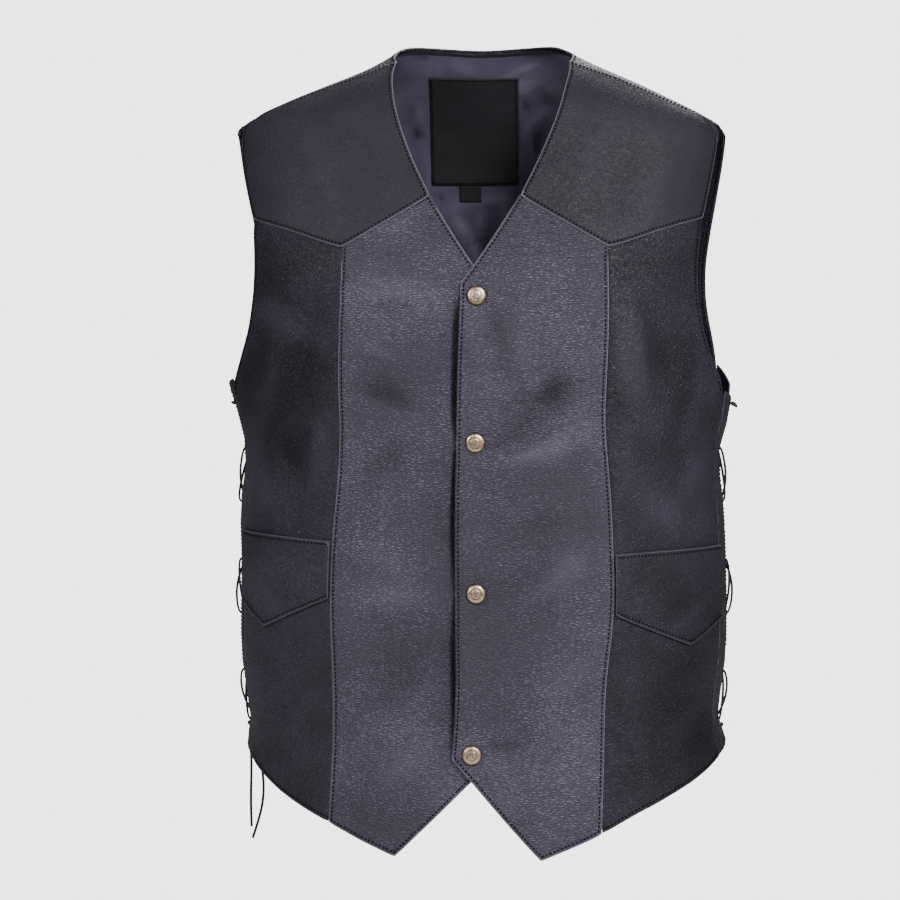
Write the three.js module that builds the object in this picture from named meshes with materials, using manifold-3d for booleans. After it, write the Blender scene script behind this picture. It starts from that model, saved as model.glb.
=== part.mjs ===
// A leather vest with a pointed front hem, shoulder yokes, welt pockets, four snaps down the
// front and open lacing at both sides, in the hollow shape it takes when it is worn.
//
// Millimetres, +Z up. The wearer faces -Y and +X is the wearer's left. The origin lies midway
// between the shoulders, at the height of the neck ends of the shoulder seams.
//
// Every panel is a wall on one body form: rings round the trunk whose half width and depths
// follow BODY_FORM. A panel's outline is given by front-view widths and heights on that form.

import * as THREE from "three";
import { mergeVertices } from "three/addons/utils/BufferGeometryUtils.js";
import Module from "manifold-3d";

const wasm = await Module();
wasm.setup();

const LEATHER = 2.0;
const LINING = 1.0;
const LABEL_CLOTH = 1.0;
const SEAM_GAP = 0.7;
const LAYER_GAP = 0.5;
const LINING_GAP = 0.9;

// The shoulder seam lies in front of the top of the shoulder, more so at the neck.
const SHOULDER_SEAM = { neck: { z: -10, forward: 29 }, tip: { z: -66, forward: 21 } };
const SHOULDER_POINT_Z = -63;

const UNDERLAP = 22;
const UNDERLAP_DROP = 2.6;
const OVERLAP_RISE = 1.0;
const SNAP_CAP_RADIUS = 8.6;
const SNAP_POST_RADIUS = 2.2;
const SNAP_HOLE_RADIUS = 2.7;

// The lacing strips beside each open side, in degrees round the trunk from the centre front.
const FRONT_STRIP = { seam: 80.5, laced: 89 };
const BACK_STRIP = { laced: 93.6, seam: 101.6 };
const EYELET_INSET = 2.5;
const EYELET_HOLE_RADIUS = 2.8;
const LACE_RADIUS = 1.2;
const LACE_CLEARANCE = 0.8;
const LACE_BOW = { over: 5.6, under: 2.8 };
const TOP_BAR = { left: { bow: 6.5, sag: 5 }, right: { bow: 2, sag: 0 } };
const LACE_ROWS = [-311, -349, -397, -447, -496, -545, -590];
const KNOT_RADIUS = 3.8;
const KNOT_DROP = 5;

const LABEL = { x: -8.6, width: 80, top: -16, bottom: -110 };
const SIZE_TAB = { x: -13, width: 20, top: -110.4, bottom: -125 };

const LIGHT_LEATHER = { color: 0x4b4a56, roughness: 0.55, metalness: 0 };
const DARK_LEATHER = { color: 0x2f2f36, roughness: 0.55, metalness: 0 };
const LINING_CLOTH = { color: 0x34323f, roughness: 0.4, metalness: 0 };
const LABEL_BLACK = { color: 0x17171b, roughness: 0.7, metalness: 0 };
const LACE_BLACK = { color: 0x131315, roughness: 0.6, metalness: 0 };
const AGED_BRASS = { color: 0x9a7b52, roughness: 0.35, metalness: 1 };

// The trunk's half width on the wearer's left and right, its depth before and behind the side
// line, and the power of the ring's oval, down from the neck over the shoulders to the hem.
const BODY_FORM = [
  { z: 16, left: 63, right: 61, front: 33, back: 58, power: 1.9 },
  { z: 2, left: 78, right: 74, front: 43, back: 67, power: 1.9 },
  { z: -12, left: 103, right: 92, front: 53, back: 74, power: 1.9 },
  { z: -25, left: 137, right: 127, front: 61, back: 80, power: 1.9 },
  { z: -38, left: 164, right: 162, front: 68, back: 86, power: 1.9 },
  { z: -51, left: 189, right: 193, front: 75, back: 91, power: 1.95 },
  { z: -64, left: 216, right: 214, front: 81, back: 96, power: 1.95 },
  { z: -80, left: 219, right: 217, front: 87, back: 101, power: 2 },
  { z: -110, left: 219, right: 218, front: 96, back: 110, power: 2.05 },
  { z: -180, left: 219, right: 218, front: 115, back: 121, power: 2.1 },
  { z: -290, left: 223, right: 223, front: 129, back: 122, power: 2.15 },
  { z: -320, left: 220, right: 214, front: 130, back: 119, power: 2.15 },
  { z: -355, left: 211, right: 207, front: 129, back: 116, power: 2.15 },
  { z: -400, left: 215, right: 212, front: 128, back: 114, power: 2.15 },
  { z: -450, left: 217, right: 211, front: 126, back: 113, power: 2.15 },
  { z: -530, left: 217, right: 211, front: 124, back: 116, power: 2.15 },
  { z: -590, left: 210, right: 203, front: 123, back: 120, power: 2.15 },
  { z: -609, left: 218, right: 206, front: 122, back: 122, power: 2.15 },
  { z: -710, left: 216, right: 209, front: 121, back: 126, power: 2.15 },
];

// Soft folds of the worn leather: a line on the front or back from one point to another, how far
// it stands out (or, below zero, sinks in), and how wide it is.
const FOLDS = [
  { on: "front", x0: 4, z0: -345, x1: 98, z1: -296, out: -5.0, width: 17 },
  { on: "front", x0: 30, z0: -356, x1: 112, z1: -328, out: 3.0, width: 18 },
  { on: "front", x0: 8, z0: -470, x1: 78, z1: -398, out: -4.0, width: 18 },
  { on: "front", x0: 30, z0: -474, x1: 116, z1: -436, out: 3.0, width: 20 },
  { on: "front", x0: 2, z0: -604, x1: 60, z1: -588, out: -3.0, width: 14 },
  { on: "front", x0: 20, z0: -240, x1: 26, z1: -300, out: -2.5, width: 12 },
  { on: "front", x0: -104, z0: -286, x1: -46, z1: -318, out: -3.5, width: 18 },
  { on: "front", x0: -112, z0: -212, x1: -30, z1: -228, out: 3.0, width: 24 },
  { on: "front", x0: -108, z0: -400, x1: -52, z1: -352, out: -3.0, width: 20 },
  { on: "front", x0: -106, z0: -478, x1: -30, z1: -480, out: 2.5, width: 20 },
  { on: "front", x0: -112, z0: -560, x1: -40, z1: -520, out: -2.5, width: 22 },
  { on: "front", x0: 150, z0: -318, x1: 180, z1: -232, out: -4.0, width: 16 },
  { on: "front", x0: 126, z0: -222, x1: 140, z1: -300, out: 3.0, width: 18 },
  { on: "front", x0: -150, z0: -318, x1: -158, z1: -420, out: -4.0, width: 16 },
  { on: "front", x0: -188, z0: -300, x1: -196, z1: -420, out: 4.0, width: 13 },
  { on: "front", x0: 188, z0: -330, x1: 200, z1: -430, out: 3.5, width: 14 },
  { on: "front", x0: -196, z0: -520, x1: -160, z1: -556, out: -3.5, width: 15 },
  { on: "front", x0: 196, z0: -540, x1: 168, z1: -600, out: 3.0, width: 15 },
  { on: "back", x0: -150, z0: -250, x1: -60, z1: -330, out: -4.5, width: 24 },
  { on: "back", x0: 160, z0: -262, x1: 70, z1: -348, out: -4.0, width: 22 },
  { on: "back", x0: -120, z0: -400, x1: 20, z1: -436, out: 3.5, width: 26 },
  { on: "back", x0: 130, z0: -430, x1: 30, z1: -474, out: -3.5, width: 24 },
  { on: "back", x0: -60, z0: -470, x1: -80, z1: -600, out: -3.5, width: 26 },
  { on: "back", x0: 70, z0: -480, x1: 96, z1: -610, out: 3.5, width: 26 },
  { on: "back", x0: -4, z0: -90, x1: 4, z1: -220, out: -2.5, width: 30 },
];

// Outlines seen from the front, as distances out from the middle at heights. The neckline runs
// from the shoulder seam to the lapped corner of the front.
const UPPER_NECKLINE = [
  { z: -28, left: 78, right: 74 },
  { z: -58, left: 71, right: 69 },
  { z: -88, left: 60, right: 59.5 },
  { z: -117, left: 46.8, right: 46.5 },
  { z: -134.5, left: 38, right: 37.7 },
];
const LOWER_NECKLINE = [
  { x: 37.9, z: -134.5 },
  { x: 20, z: -164 },
  { x: -0.5, z: -195 },
  { x: -11.6, z: -210 },
];

// The yoke's pointed lower edge: from the neckline to its point, and on to the armhole.
const YOKE_INNER = [
  { x: 37.9, z: -134.5 },
  { x: 76, z: -157 },
  { x: 114.5, z: -179 },
];
const YOKE_OUTER = [
  { x: 114.5, z: -179 },
  { x: 137, z: -172 },
  { x: 159.5, z: -163 },
  { x: 196.5, z: -151 },
];

// The seam between the centre front and the side front, down to the hem.
const FRONT_SEAM = [
  { z: -179, left: 114.5, right: 114.5 },
  { z: -250, left: 115, right: 116.5 },
  { z: -315, left: 111.8, right: 115.8 },
  { z: -345, left: 113.3, right: 115.8 },
  { z: -395, left: 117.2, right: 119 },
  { z: -440, left: 119, right: 123.4 },
  { z: -490, left: 119.7, right: 124.4 },
  { z: -545, left: 113.3, right: 122.2 },
  { z: -600, left: 111.2, right: 122 },
];

const LAPPED_EDGE = [
  { x: -11.6, z: -210 },
  { x: -13, z: -260 },
  { x: -14.5, z: -331 },
  { x: -16, z: -412 },
  { x: -15.9, z: -505 },
  { x: -15.5, z: -562 },
  { x: -19.3, z: -614.8 },
];

// The hem of each front, from the opening to its point, to the seam and to the side.
const HEM = {
  left: {
    toPoint: [
      { x: -19.3, z: -614.8 },
      { x: -1.8, z: -634.9 },
      { x: 40, z: -683.6 },
      { x: 57, z: -702 },
    ],
    toSeam: [
      { x: 57, z: -702 },
      { x: 90.7, z: -688.2 },
      { x: 109, z: -679.6 },
    ],
    toSide: [
      { x: 109, z: -679.6 },
      { x: 142, z: -661.4 },
      { x: 176.5, z: -644.2 },
      { x: 200, z: -628.6 },
    ],
    corner: -618,
    stripCorner: -607,
  },
  right: {
    toPoint: [
      { x: -19, z: -615 },
      { x: 3, z: -635.5 },
      { x: 45.2, z: -677 },
      { x: 68, z: -699 },
    ],
    toSeam: [
      { x: 68, z: -699 },
      { x: 97.2, z: -686 },
      { x: 126, z: -671.2 },
    ],
    toSide: [
      { x: 126, z: -671.2 },
      { x: 151.2, z: -659 },
      { x: 170.6, z: -647 },
      { x: 188.4, z: -632.6 },
    ],
    corner: -619,
    stripCorner: -610,
  },
};

const YOKE_ARMHOLE = [
  { z: -101, left: 206.5, right: 208 },
  { z: -151, left: 196.5, right: 196.5 },
];
const FRONT_ARMHOLE = [
  { z: -151, left: 196.5, right: 196.5 },
  { z: -186, left: 191, right: 194.5 },
  { z: -220, left: 191.5, right: 195.5 },
  { z: -248, left: 196, right: 199.5 },
  { z: -270, left: 203.5, right: 206.5 },
];
const BACK_ARMHOLE = [
  { x: 217, z: -80 },
  { x: 213, z: -114 },
  { x: 207.5, z: -143 },
  { x: 201, z: -180 },
  { x: 200, z: -208 },
  { x: 202, z: -234 },
  { x: 209, z: -256 },
];
const ARMPIT_Z = { left: -300, right: -288 };
const STRIP_TOP_DROP = 5;
const BACK_STRIP_TOP = { laced: -293, seam: -274 };

// The back's neck edge and hem, at angles round the trunk.
const BACK_NECK = [
  { angle: 96, z: 3 },
  { angle: 114, z: 8 },
  { angle: 146, z: 9.4 },
  { angle: 180, z: 8.6 },
];
const BACK_HEM = [
  { angle: 120, z: -616 },
  { angle: 150, z: -624 },
  { angle: 180, z: -627 },
];
const BACK_HEM_CORNER_Z = -611;

// The welt over each pocket, at the seam, at its point and at the side.
const WELT = {
  left: { topSeam: -441, topSide: -434, lowSeam: -493, lowPoint: -520, lowSide: -497 },
  right: { topSeam: -430, topSide: -421, lowSeam: -479, lowPoint: -505, lowSide: -482 },
};
const WELT_POINT = 0.65;

const SNAPS = [
  { x: 2.5, z: -221 },
  { x: 1.6, z: -346 },
  { x: 2.2, z: -474 },
  { x: -1.5, z: -611 },
];

// The two loose ends of the lace at the wearer's right side: one hangs straight in the opening,
// the other inside it and then out below the hem.
const LACE_TAILS = [
  [
    [-204.7, 3.2, -598.9],
    [-204.5, 3.5, -605.8],
    [-204.1, 3.5, -612],
    [-203.8, 3.7, -618.2],
    [-203.6, 3.9, -624.4],
    [-203.5, 4.1, -630.6],
    [-203.5, 4.2, -636.8],
    [-203.6, 4.2, -643],
    [-203.7, 4.1, -649.2],
    [-203.8, 3.9, -655.4],
    [-203.8, 3.7, -661.6],
    [-203.7, 3.5, -667.8],
    [-203.6, 3.4, -674],
    [-203.4, 3.4, -680.2],
    [-203.2, 3.5, -686.5],
  ],
  [
    [-202.6, 6.2, -598.5],
    [-201.8, 7.9, -605],
    [-200.1, 8.3, -611],
    [-198.4, 8.5, -617.2],
    [-196.9, 8.5, -623.4],
    [-195.5, 8.4, -629.6],
    [-194.4, 8.2, -635.8],
    [-193.6, 8, -642],
    [-193.1, 7.8, -648.3],
    [-193, 7.6, -654.6],
    [-193.4, 7.5, -660.9],
    [-194.2, 7.5, -667.2],
    [-195.5, 7.5, -673.4],
    [-197.1, 7.6, -679.5],
    [-198.9, 7.8, -685.5],
    [-200.8, 8, -691.4],
    [-202.8, 8.3, -697.2],
  ],
];

const radians = THREE.MathUtils.degToRad;
const smoothstep = (value, from, to) => THREE.MathUtils.smoothstep(value, from, to);

// A smooth value between the rows of a table that is sorted by falling z.
function between(rows, column, z) {
  const last = rows.length - 2;
  let i = 0;
  while (i < last && z < rows[i + 1].z) i += 1;
  const slope = (k) => {
    const low = rows[Math.max(0, k - 1)];
    const high = rows[Math.min(rows.length - 1, k + 1)];
    return (high[column] - low[column]) / (high.z - low.z);
  };
  const a = rows[i];
  const b = rows[i + 1];
  const span = b.z - a.z;
  const s = THREE.MathUtils.clamp((z - a.z) / span, 0, 1);
  const s2 = s * s;
  const s3 = s2 * s;
  return (
    a[column] * (2 * s3 - 3 * s2 + 1) +
    slope(i) * span * (s3 - 2 * s2 + s) +
    b[column] * (3 * s2 - 2 * s3) +
    slope(i + 1) * span * (s3 - s2)
  );
}

const formAt = (column, z) => between(BODY_FORM, column, z);

// The point of the body form at an angle round the trunk: 0 is the centre front, 90 degrees the
// wearer's left side and 180 the centre back.
function formPoint(angle, z) {
  const half = formAt(Math.sin(angle) > 0 ? "left" : "right", z);
  const depth = formAt(Math.cos(angle) > 0 ? "front" : "back", z);
  const power = formAt("power", z);
  const across = Math.abs(Math.sin(angle)) / half;
  const along = Math.abs(Math.cos(angle)) / depth;
  const reach = (across ** power + along ** power) ** (-1 / power);
  return new THREE.Vector3(reach * Math.sin(angle), -reach * Math.cos(angle), z);
}

function formNormal(angle, z) {
  const step = 0.01;
  const round = formPoint(angle + step, z).sub(formPoint(angle - step, z));
  const up = formPoint(angle, z + 1).sub(formPoint(angle, z - 1));
  return round.cross(up).normalize();
}

// A flat chart of the form: x is the angle times CHART_RADIUS, y is the height.
const CHART_RADIUS = 170;
const chartAngle = (degrees, z) => new THREE.Vector2(radians(degrees) * CHART_RADIUS, z);

function chartAt(x, z, behind = false) {
  const half = formAt(x > 0 ? "left" : "right", z);
  const power = formAt("power", z);
  const share = Math.max(0, 1 - Math.abs(x / half) ** power) ** (1 / power);
  const y = behind ? formAt("back", z) * share : -formAt("front", z) * share;
  const angle = Math.atan2(x, -y);
  return new THREE.Vector2((behind && angle < 0 ? angle + 2 * Math.PI : angle) * CHART_RADIUS, z);
}

const foldLines = FOLDS.map(({ on, x0, z0, x1, z1, out, width }) => {
  const ends = [
    [x0, z0],
    [x1, z1],
  ].map(([x, z]) => {
    const chart = chartAt(x, z, on === "back");
    return formPoint(chart.x / CHART_RADIUS, z);
  });
  return { line: new THREE.Line3(...ends), out, width };
});

// How far the folds lift a point of the form. A fold fades out over its last third at each end.
function foldLift(point) {
  const nearest = new THREE.Vector3();
  let lift = 0;
  for (const { line, out, width } of foldLines) {
    const along = line.closestPointToPointParameter(point, false);
    line.at(THREE.MathUtils.clamp(along, 0, 1), nearest);
    const away = nearest.distanceTo(point) / width;
    const fade = smoothstep(along, -0.1, 0.35) * (1 - smoothstep(along, 0.65, 1.1));
    lift += out * fade * Math.exp(-away * away);
  }
  return lift;
}

function lifted(chart, lift) {
  const angle = chart.x / CHART_RADIUS;
  const base = formPoint(angle, chart.y);
  return base.clone().addScaledVector(formNormal(angle, chart.y), lift + foldLift(base));
}

// A curve in the chart through points, and several such curves end to end as one edge: breaks
// gives the share of the edge at which each one starts and ends.
const curve = (points) => new THREE.SplineCurve(points);

function edge(curves, breaks = [0, 1]) {
  return (share) => {
    let i = 0;
    while (i < curves.length - 1 && share > breaks[i + 1]) i += 1;
    const within = (share - breaks[i]) / (breaks[i + 1] - breaks[i]);
    return curves[i].getPointAt(THREE.MathUtils.clamp(within, 0, 1));
  };
}

// The panel between four edges. u runs along top and bottom, t down left and right.
function panel({ top, bottom, left, right }) {
  const corners = [top(0), top(1), bottom(0), bottom(1)];
  return (u, t) => {
    const across = top(u).multiplyScalar(1 - t).addScaledVector(bottom(u), t);
    const down = left(t).multiplyScalar(1 - u).addScaledVector(right(t), u);
    const flat = corners[0]
      .clone()
      .multiplyScalar((1 - u) * (1 - t))
      .addScaledVector(corners[1], u * (1 - t))
      .addScaledVector(corners[2], (1 - u) * t)
      .addScaledVector(corners[3], u * t);
    return across.add(down).sub(flat);
  };
}

// Shares from 0 to 1 that hold every break, with steps[i] even steps in each stretch.
function stations(breaks, steps) {
  const shares = [breaks[0]];
  steps.forEach((count, i) => {
    const span = breaks[i + 1] - breaks[i];
    for (let k = 1; k <= count; k += 1) shares.push(breaks[i] + (span * k) / count);
  });
  return shares;
}

// Draws the first and last share in, so that neighbouring panels stay apart at their seam.
function inset(shares, length, by = SEAM_GAP / 2) {
  const drawn = shares.slice();
  drawn[0] += by / length;
  drawn[drawn.length - 1] -= by / length;
  return drawn;
}

// A closed wall on a panel: its outer face stands lift above the form.
function wall(at, us, ts, { lift = 0, thickness = LEATHER } = {}) {
  const outer = [];
  const inner = [];
  for (const t of ts) {
    for (const u of us) {
      const chart = at(u, t);
      const height = typeof lift === "function" ? lift(chart) : lift;
      outer.push(lifted(chart, height));
      inner.push(lifted(chart, height - thickness));
    }
  }
  const columns = us.length;
  const rows = ts.length;
  const index = [];
  const quad = (a, b, c, d) => index.push(a, b, c, a, c, d);
  const under = outer.length;
  const spot = (i, j) => j * columns + i;
  for (let j = 0; j < rows - 1; j += 1) {
    for (let i = 0; i < columns - 1; i += 1) {
      quad(spot(i, j), spot(i, j + 1), spot(i + 1, j + 1), spot(i + 1, j));
      quad(under + spot(i, j), under + spot(i + 1, j), under + spot(i + 1, j + 1), under + spot(i, j + 1));
    }
  }
  const rim = [];
  for (let i = 0; i < columns - 1; i += 1) rim.push(spot(i, 0));
  for (let j = 0; j < rows - 1; j += 1) rim.push(spot(columns - 1, j));
  for (let i = columns - 1; i > 0; i -= 1) rim.push(spot(i, rows - 1));
  for (let j = rows - 1; j > 0; j -= 1) rim.push(spot(0, j));
  rim.forEach((a, k) => {
    const b = rim[(k + 1) % rim.length];
    quad(a, b, under + b, under + a);
  });
  return new THREE.BufferGeometry().setFromPoints([...outer, ...inner]).setIndex(index);
}

function toSolid(geometry) {
  const bare = geometry.clone();
  bare.deleteAttribute("normal");
  bare.deleteAttribute("uv");
  const merged = mergeVertices(bare, 1e-4);
  return new wasm.Manifold(
    new wasm.Mesh({
      numProp: 3,
      vertProperties: merged.attributes.position.array,
      triVerts: new Uint32Array(merged.index.array),
    }),
  );
}

function fromSolid(solid) {
  const { vertProperties, triVerts } = solid.getMesh();
  return new THREE.BufferGeometry()
    .setAttribute("position", new THREE.BufferAttribute(vertProperties, 3))
    .setIndex(new THREE.BufferAttribute(triVerts, 1));
}

// Turns a shape made along +Y so that it points out of the form at a chart point.
function standOn(geometry, chart, lift) {
  const out = formNormal(chart.x / CHART_RADIUS, chart.y);
  const turn = new THREE.Quaternion().setFromUnitVectors(new THREE.Vector3(0, 1, 0), out);
  const seat = lifted(chart, lift);
  return geometry.clone().applyQuaternion(turn).translate(seat.x, seat.y, seat.z);
}

function punch(geometry, charts, radius) {
  const drill = new THREE.CylinderGeometry(radius, radius, 30, 8);
  return fromSolid(
    charts.reduce((solid, chart) => solid.subtract(toSolid(standOn(drill, chart, 0))), toSolid(geometry)),
  );
}

const SIDES = ["left", "right"];
const outward = { left: 1, right: -1 };

const group = new THREE.Group();

function add(name, geometry, look) {
  const mesh = new THREE.Mesh(geometry, new THREE.MeshStandardMaterial(look));
  mesh.name = name;
  group.add(mesh);
}

// Chart points on the front from rows of x and z, or from rows with a column for each side.
const onFront = (rows, side) =>
  rows.map((row) => chartAt(outward[side] * (row.x ?? row[side]), row.z));
const onSide = (degrees, z, side) => chartAngle(outward[side] * degrees, z);

// Columns run from the wearer's right to left on every panel, so its outer face looks outwards.
const columns = (shares, side) => (side === "left" ? shares : shares.slice().reverse());

function shoulderSeam(side) {
  const { neck, tip } = SHOULDER_SEAM;
  return [0, 0.25, 0.5, 0.75, 1].map((share) => {
    const z = THREE.MathUtils.lerp(neck.z, tip.z, share);
    const forward = THREE.MathUtils.lerp(neck.forward, tip.forward, share);
    const power = formAt("power", z);
    const x = formAt(side, z) * (1 - (forward / formAt("front", z)) ** power) ** (1 / power);
    return new THREE.Vector2(outward[side] * Math.atan2(x, forward) * CHART_RADIUS, z);
  });
}

const frontSeam = (side) => {
  const rows = [...FRONT_SEAM, HEM[side].toSide[0]];
  return onFront(rows.map((row) => ({ x: row.x ?? row[side], z: row.z })), side);
};

// Shoulder yokes.
const YOKE_BREAK = 0.48;

for (const side of SIDES) {
  const seam = shoulderSeam(side);
  const at = panel({
    top: edge([curve(seam)]),
    bottom: edge([curve(onFront(YOKE_INNER, side)), curve(onFront(YOKE_OUTER, side))], [0, YOKE_BREAK, 1]),
    left: edge([curve([seam[0], ...onFront(UPPER_NECKLINE, side)])]),
    right: edge([curve([seam[seam.length - 1], ...onFront(YOKE_ARMHOLE, side)])]),
  });
  const us = inset(stations([0, YOKE_BREAK, 1], [4, 4]), 150);
  const ts = inset(stations([0, 1], [7]), 120);
  add(`yoke_${side}`, wall(at, columns(us, side), ts), DARK_LEATHER);
}

// Centre fronts. The wearer's left one laps over the right one, which drops under it.
const FRONT_ROWS = 20;
const KNEE = 0.5;
const LAP_SHARE = 0.28;
const frontX = (chart) => formPoint(chart.x / CHART_RADIUS, chart.y).x;
const lapLift = (chart) => OVERLAP_RISE * (1 - smoothstep(frontX(chart), 24, 70));
const underlapLift = (chart) => -UNDERLAP_DROP * smoothstep(frontX(chart), -64, -16);

function centreFront(side) {
  const hem = HEM[side];
  const lapped = side === "left";
  const neck = lapped ? LOWER_NECKLINE : [...LOWER_NECKLINE.slice(0, 3), { x: 4 - UNDERLAP, z: -220 }];
  const opening = lapped
    ? LAPPED_EDGE
    : [neck[3], { x: -UNDERLAP, z: -300 }, { x: -UNDERLAP, z: -540 }, hem.toPoint[0]];
  const at = panel({
    top: edge(
      [curve(onFront(neck.slice().reverse(), side)), curve(onFront(YOKE_INNER, side))],
      [0, KNEE, 1],
    ),
    bottom: edge([curve(onFront(hem.toPoint, side)), curve(onFront(hem.toSeam, side))], [0, KNEE, 1]),
    left: edge([curve(onFront(opening, side))]),
    right: edge([curve(frontSeam(side))]),
  });
  const us = inset(stations([0, LAP_SHARE, KNEE, 1], [4, 2, 4]), 130);
  const ts = inset(stations([0, 1], [FRONT_ROWS]), 470);
  return wall(at, columns(us, side), ts, { lift: lapped ? lapLift : underlapLift });
}

const snapCharts = SNAPS.map(({ x, z }) => chartAt(x, z));
for (const side of SIDES) {
  add(`front_centre_${side}`, punch(centreFront(side), snapCharts, SNAP_HOLE_RADIUS), LIGHT_LEATHER);
}

// Side fronts, and the pointed welt over each pocket. Rows of the side front follow the welt's
// upper and lower edge, so that the welt is made from the same points, moved out.
const ARMPIT_SHARE = 0.3;

for (const side of SIDES) {
  const hem = HEM[side];
  const armpit = onSide(FRONT_STRIP.seam, ARMPIT_Z[side], side);
  const corner = onSide(FRONT_STRIP.seam, hem.corner, side);
  const at = panel({
    top: edge([curve(onFront(YOKE_OUTER, side))]),
    bottom: edge([curve([...onFront(hem.toSide, side), corner])]),
    left: edge([curve(frontSeam(side))]),
    right: edge(
      [curve([...onFront(FRONT_ARMHOLE, side), armpit]), curve([armpit, corner])],
      [0, ARMPIT_SHARE, 1],
    ),
  });
  const shareAt = (u, z) => {
    let low = 0;
    let high = 1;
    for (let k = 0; k < 24; k += 1) {
      const middle = (low + high) / 2;
      if (at(u, middle).y > z) low = middle;
      else high = middle;
    }
    return low;
  };
  const { topSeam, topSide, lowSeam, lowPoint, lowSide } = WELT[side];
  const weltTop = (u) => shareAt(u, THREE.MathUtils.lerp(topSeam, topSide, u));
  const weltLow = (u) =>
    shareAt(
      u,
      u < WELT_POINT
        ? THREE.MathUtils.lerp(lowSeam, lowPoint, u / WELT_POINT)
        : THREE.MathUtils.lerp(lowPoint, lowSide, (u - WELT_POINT) / (1 - WELT_POINT)),
    );
  const WELT_BREAKS = [0, 0.5, 0.66, 1];
  const warped = (u, t) => {
    const shares = [0, weltTop(u), weltLow(u), 1];
    const i = Math.min(2, WELT_BREAKS.findLastIndex((share) => t >= share));
    const within = (t - WELT_BREAKS[i]) / (WELT_BREAKS[i + 1] - WELT_BREAKS[i]);
    return at(u, THREE.MathUtils.lerp(shares[i], shares[i + 1], within));
  };
  const us = inset(stations([0, WELT_POINT, 1], [4, 3]), 110);
  const ts = inset(stations(WELT_BREAKS, [11, 3, 6]), 480);
  const weltTs = ts.filter((t) => t > 0.499 && t < 0.661);
  add(`front_side_${side}`, wall(warped, columns(us, side), ts), DARK_LEATHER);
  const outside = { lift: LEATHER + LAYER_GAP };
  add(`pocket_welt_${side}`, wall(warped, columns(us, side), weltTs, outside), DARK_LEATHER);
}

// Lacing strips along the open sides, with their eyelet holes.
for (const side of SIDES) {
  const armpit = ARMPIT_Z[side];
  const hem = HEM[side];
  const strips = [
    {
      name: `lace_strip_front_${side}`,
      angles: [FRONT_STRIP.seam, FRONT_STRIP.laced],
      top: [armpit, armpit - STRIP_TOP_DROP],
      foot: [hem.corner, hem.stripCorner],
      eyelets: FRONT_STRIP.laced - EYELET_INSET,
    },
    {
      name: `lace_strip_back_${side}`,
      angles: [BACK_STRIP.laced, BACK_STRIP.seam],
      top: [BACK_STRIP_TOP.laced, BACK_STRIP_TOP.seam],
      foot: [hem.stripCorner, BACK_HEM_CORNER_Z],
      eyelets: BACK_STRIP.laced + EYELET_INSET,
    },
  ];
  for (const { name, angles, top, foot, eyelets } of strips) {
    const ends = (heights) => heights.map((z, i) => onSide(angles[i], z, side));
    const [topEdge, footEdge] = [ends(top), ends(foot)];
    const at = panel({
      top: edge([curve(topEdge)]),
      bottom: edge([curve(footEdge)]),
      left: edge([curve([topEdge[0], footEdge[0]])]),
      right: edge([curve([topEdge[1], footEdge[1]])]),
    });
    const us = inset([0, 0.34, 0.67, 1], 30);
    const ts = inset(stations([0, 1], [13]), 300);
    const holes = LACE_ROWS.map((z) => onSide(eyelets, z, side));
    add(name, punch(wall(at, columns(us, side), ts), holes, EYELET_HOLE_RADIUS), DARK_LEATHER);
  }
}

// The back, one piece from the shoulder seams to the hem, which wraps a little over the shoulders.
const acrossBack = (chart) => new THREE.Vector2(2 * Math.PI * CHART_RADIUS - chart.x, chart.y);
const wrapped = (chart) => new THREE.Vector2(2 * Math.PI * CHART_RADIUS + chart.x, chart.y);
const bothHalves = (half) => [...half, ...half.slice(0, -1).reverse().map(acrossBack)];
const onBack = (rows) => rows.map(({ angle, z }) => chartAngle(angle, z));

const leftShoulder = shoulderSeam("left");
const rightShoulder = shoulderSeam("right").map(wrapped);
const neckEdge = [leftShoulder[0], ...bothHalves(onBack(BACK_NECK)), rightShoulder[0]];
const armpit = chartAngle(BACK_STRIP.seam, BACK_STRIP_TOP.seam);
const hemCorner = chartAngle(BACK_STRIP.seam, BACK_HEM_CORNER_Z);
const hemEdge = bothHalves([hemCorner, ...onBack(BACK_HEM)]);
const backArmhole = [
  chartAngle(90, SHOULDER_POINT_Z),
  ...BACK_ARMHOLE.map(({ x, z }) => chartAt(x, z, true)),
  armpit,
];
const sideSeam = [armpit, hemCorner];

// The side edges run down the shoulder seam, round the armhole and down the side.
const BACK_BREAKS = [0, 0.2, 0.52, 1];
const backAt = panel({
  top: edge([curve(neckEdge)]),
  bottom: edge([curve(hemEdge)]),
  left: edge(
    [curve(leftShoulder), curve([leftShoulder[4], ...backArmhole]), curve(sideSeam)],
    BACK_BREAKS,
  ),
  right: edge(
    [
      curve(rightShoulder),
      curve([rightShoulder[4], ...backArmhole.map(acrossBack)]),
      curve(sideSeam.map(acrossBack)),
    ],
    BACK_BREAKS,
  ),
});
const LINING_MARGIN = { side: 0.012, neck: 0.008, hem: 0.025 };
const backUs = stations([0, LINING_MARGIN.side, 1 - LINING_MARGIN.side, 1], [1, 18, 1]);
const backTs = stations(
  [0, LINING_MARGIN.neck, ...BACK_BREAKS.slice(1, 3), 1 - LINING_MARGIN.hem, 1],
  [1, 4, 8, 9, 1],
);
add("back", wall(backAt, inset(backUs, 480), inset(backTs, 620)), LIGHT_LEATHER);

// The back's lining, which hangs inside it from just below the neck edge.
const liningUs = backUs.slice(1, -1);
const liningTs = backTs.slice(1, -1);
const liningOuter = -LEATHER - LINING_GAP;
add(
  "lining_back",
  wall(backAt, liningUs, liningTs, { lift: liningOuter, thickness: LINING }),
  LINING_CLOTH,
);

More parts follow.
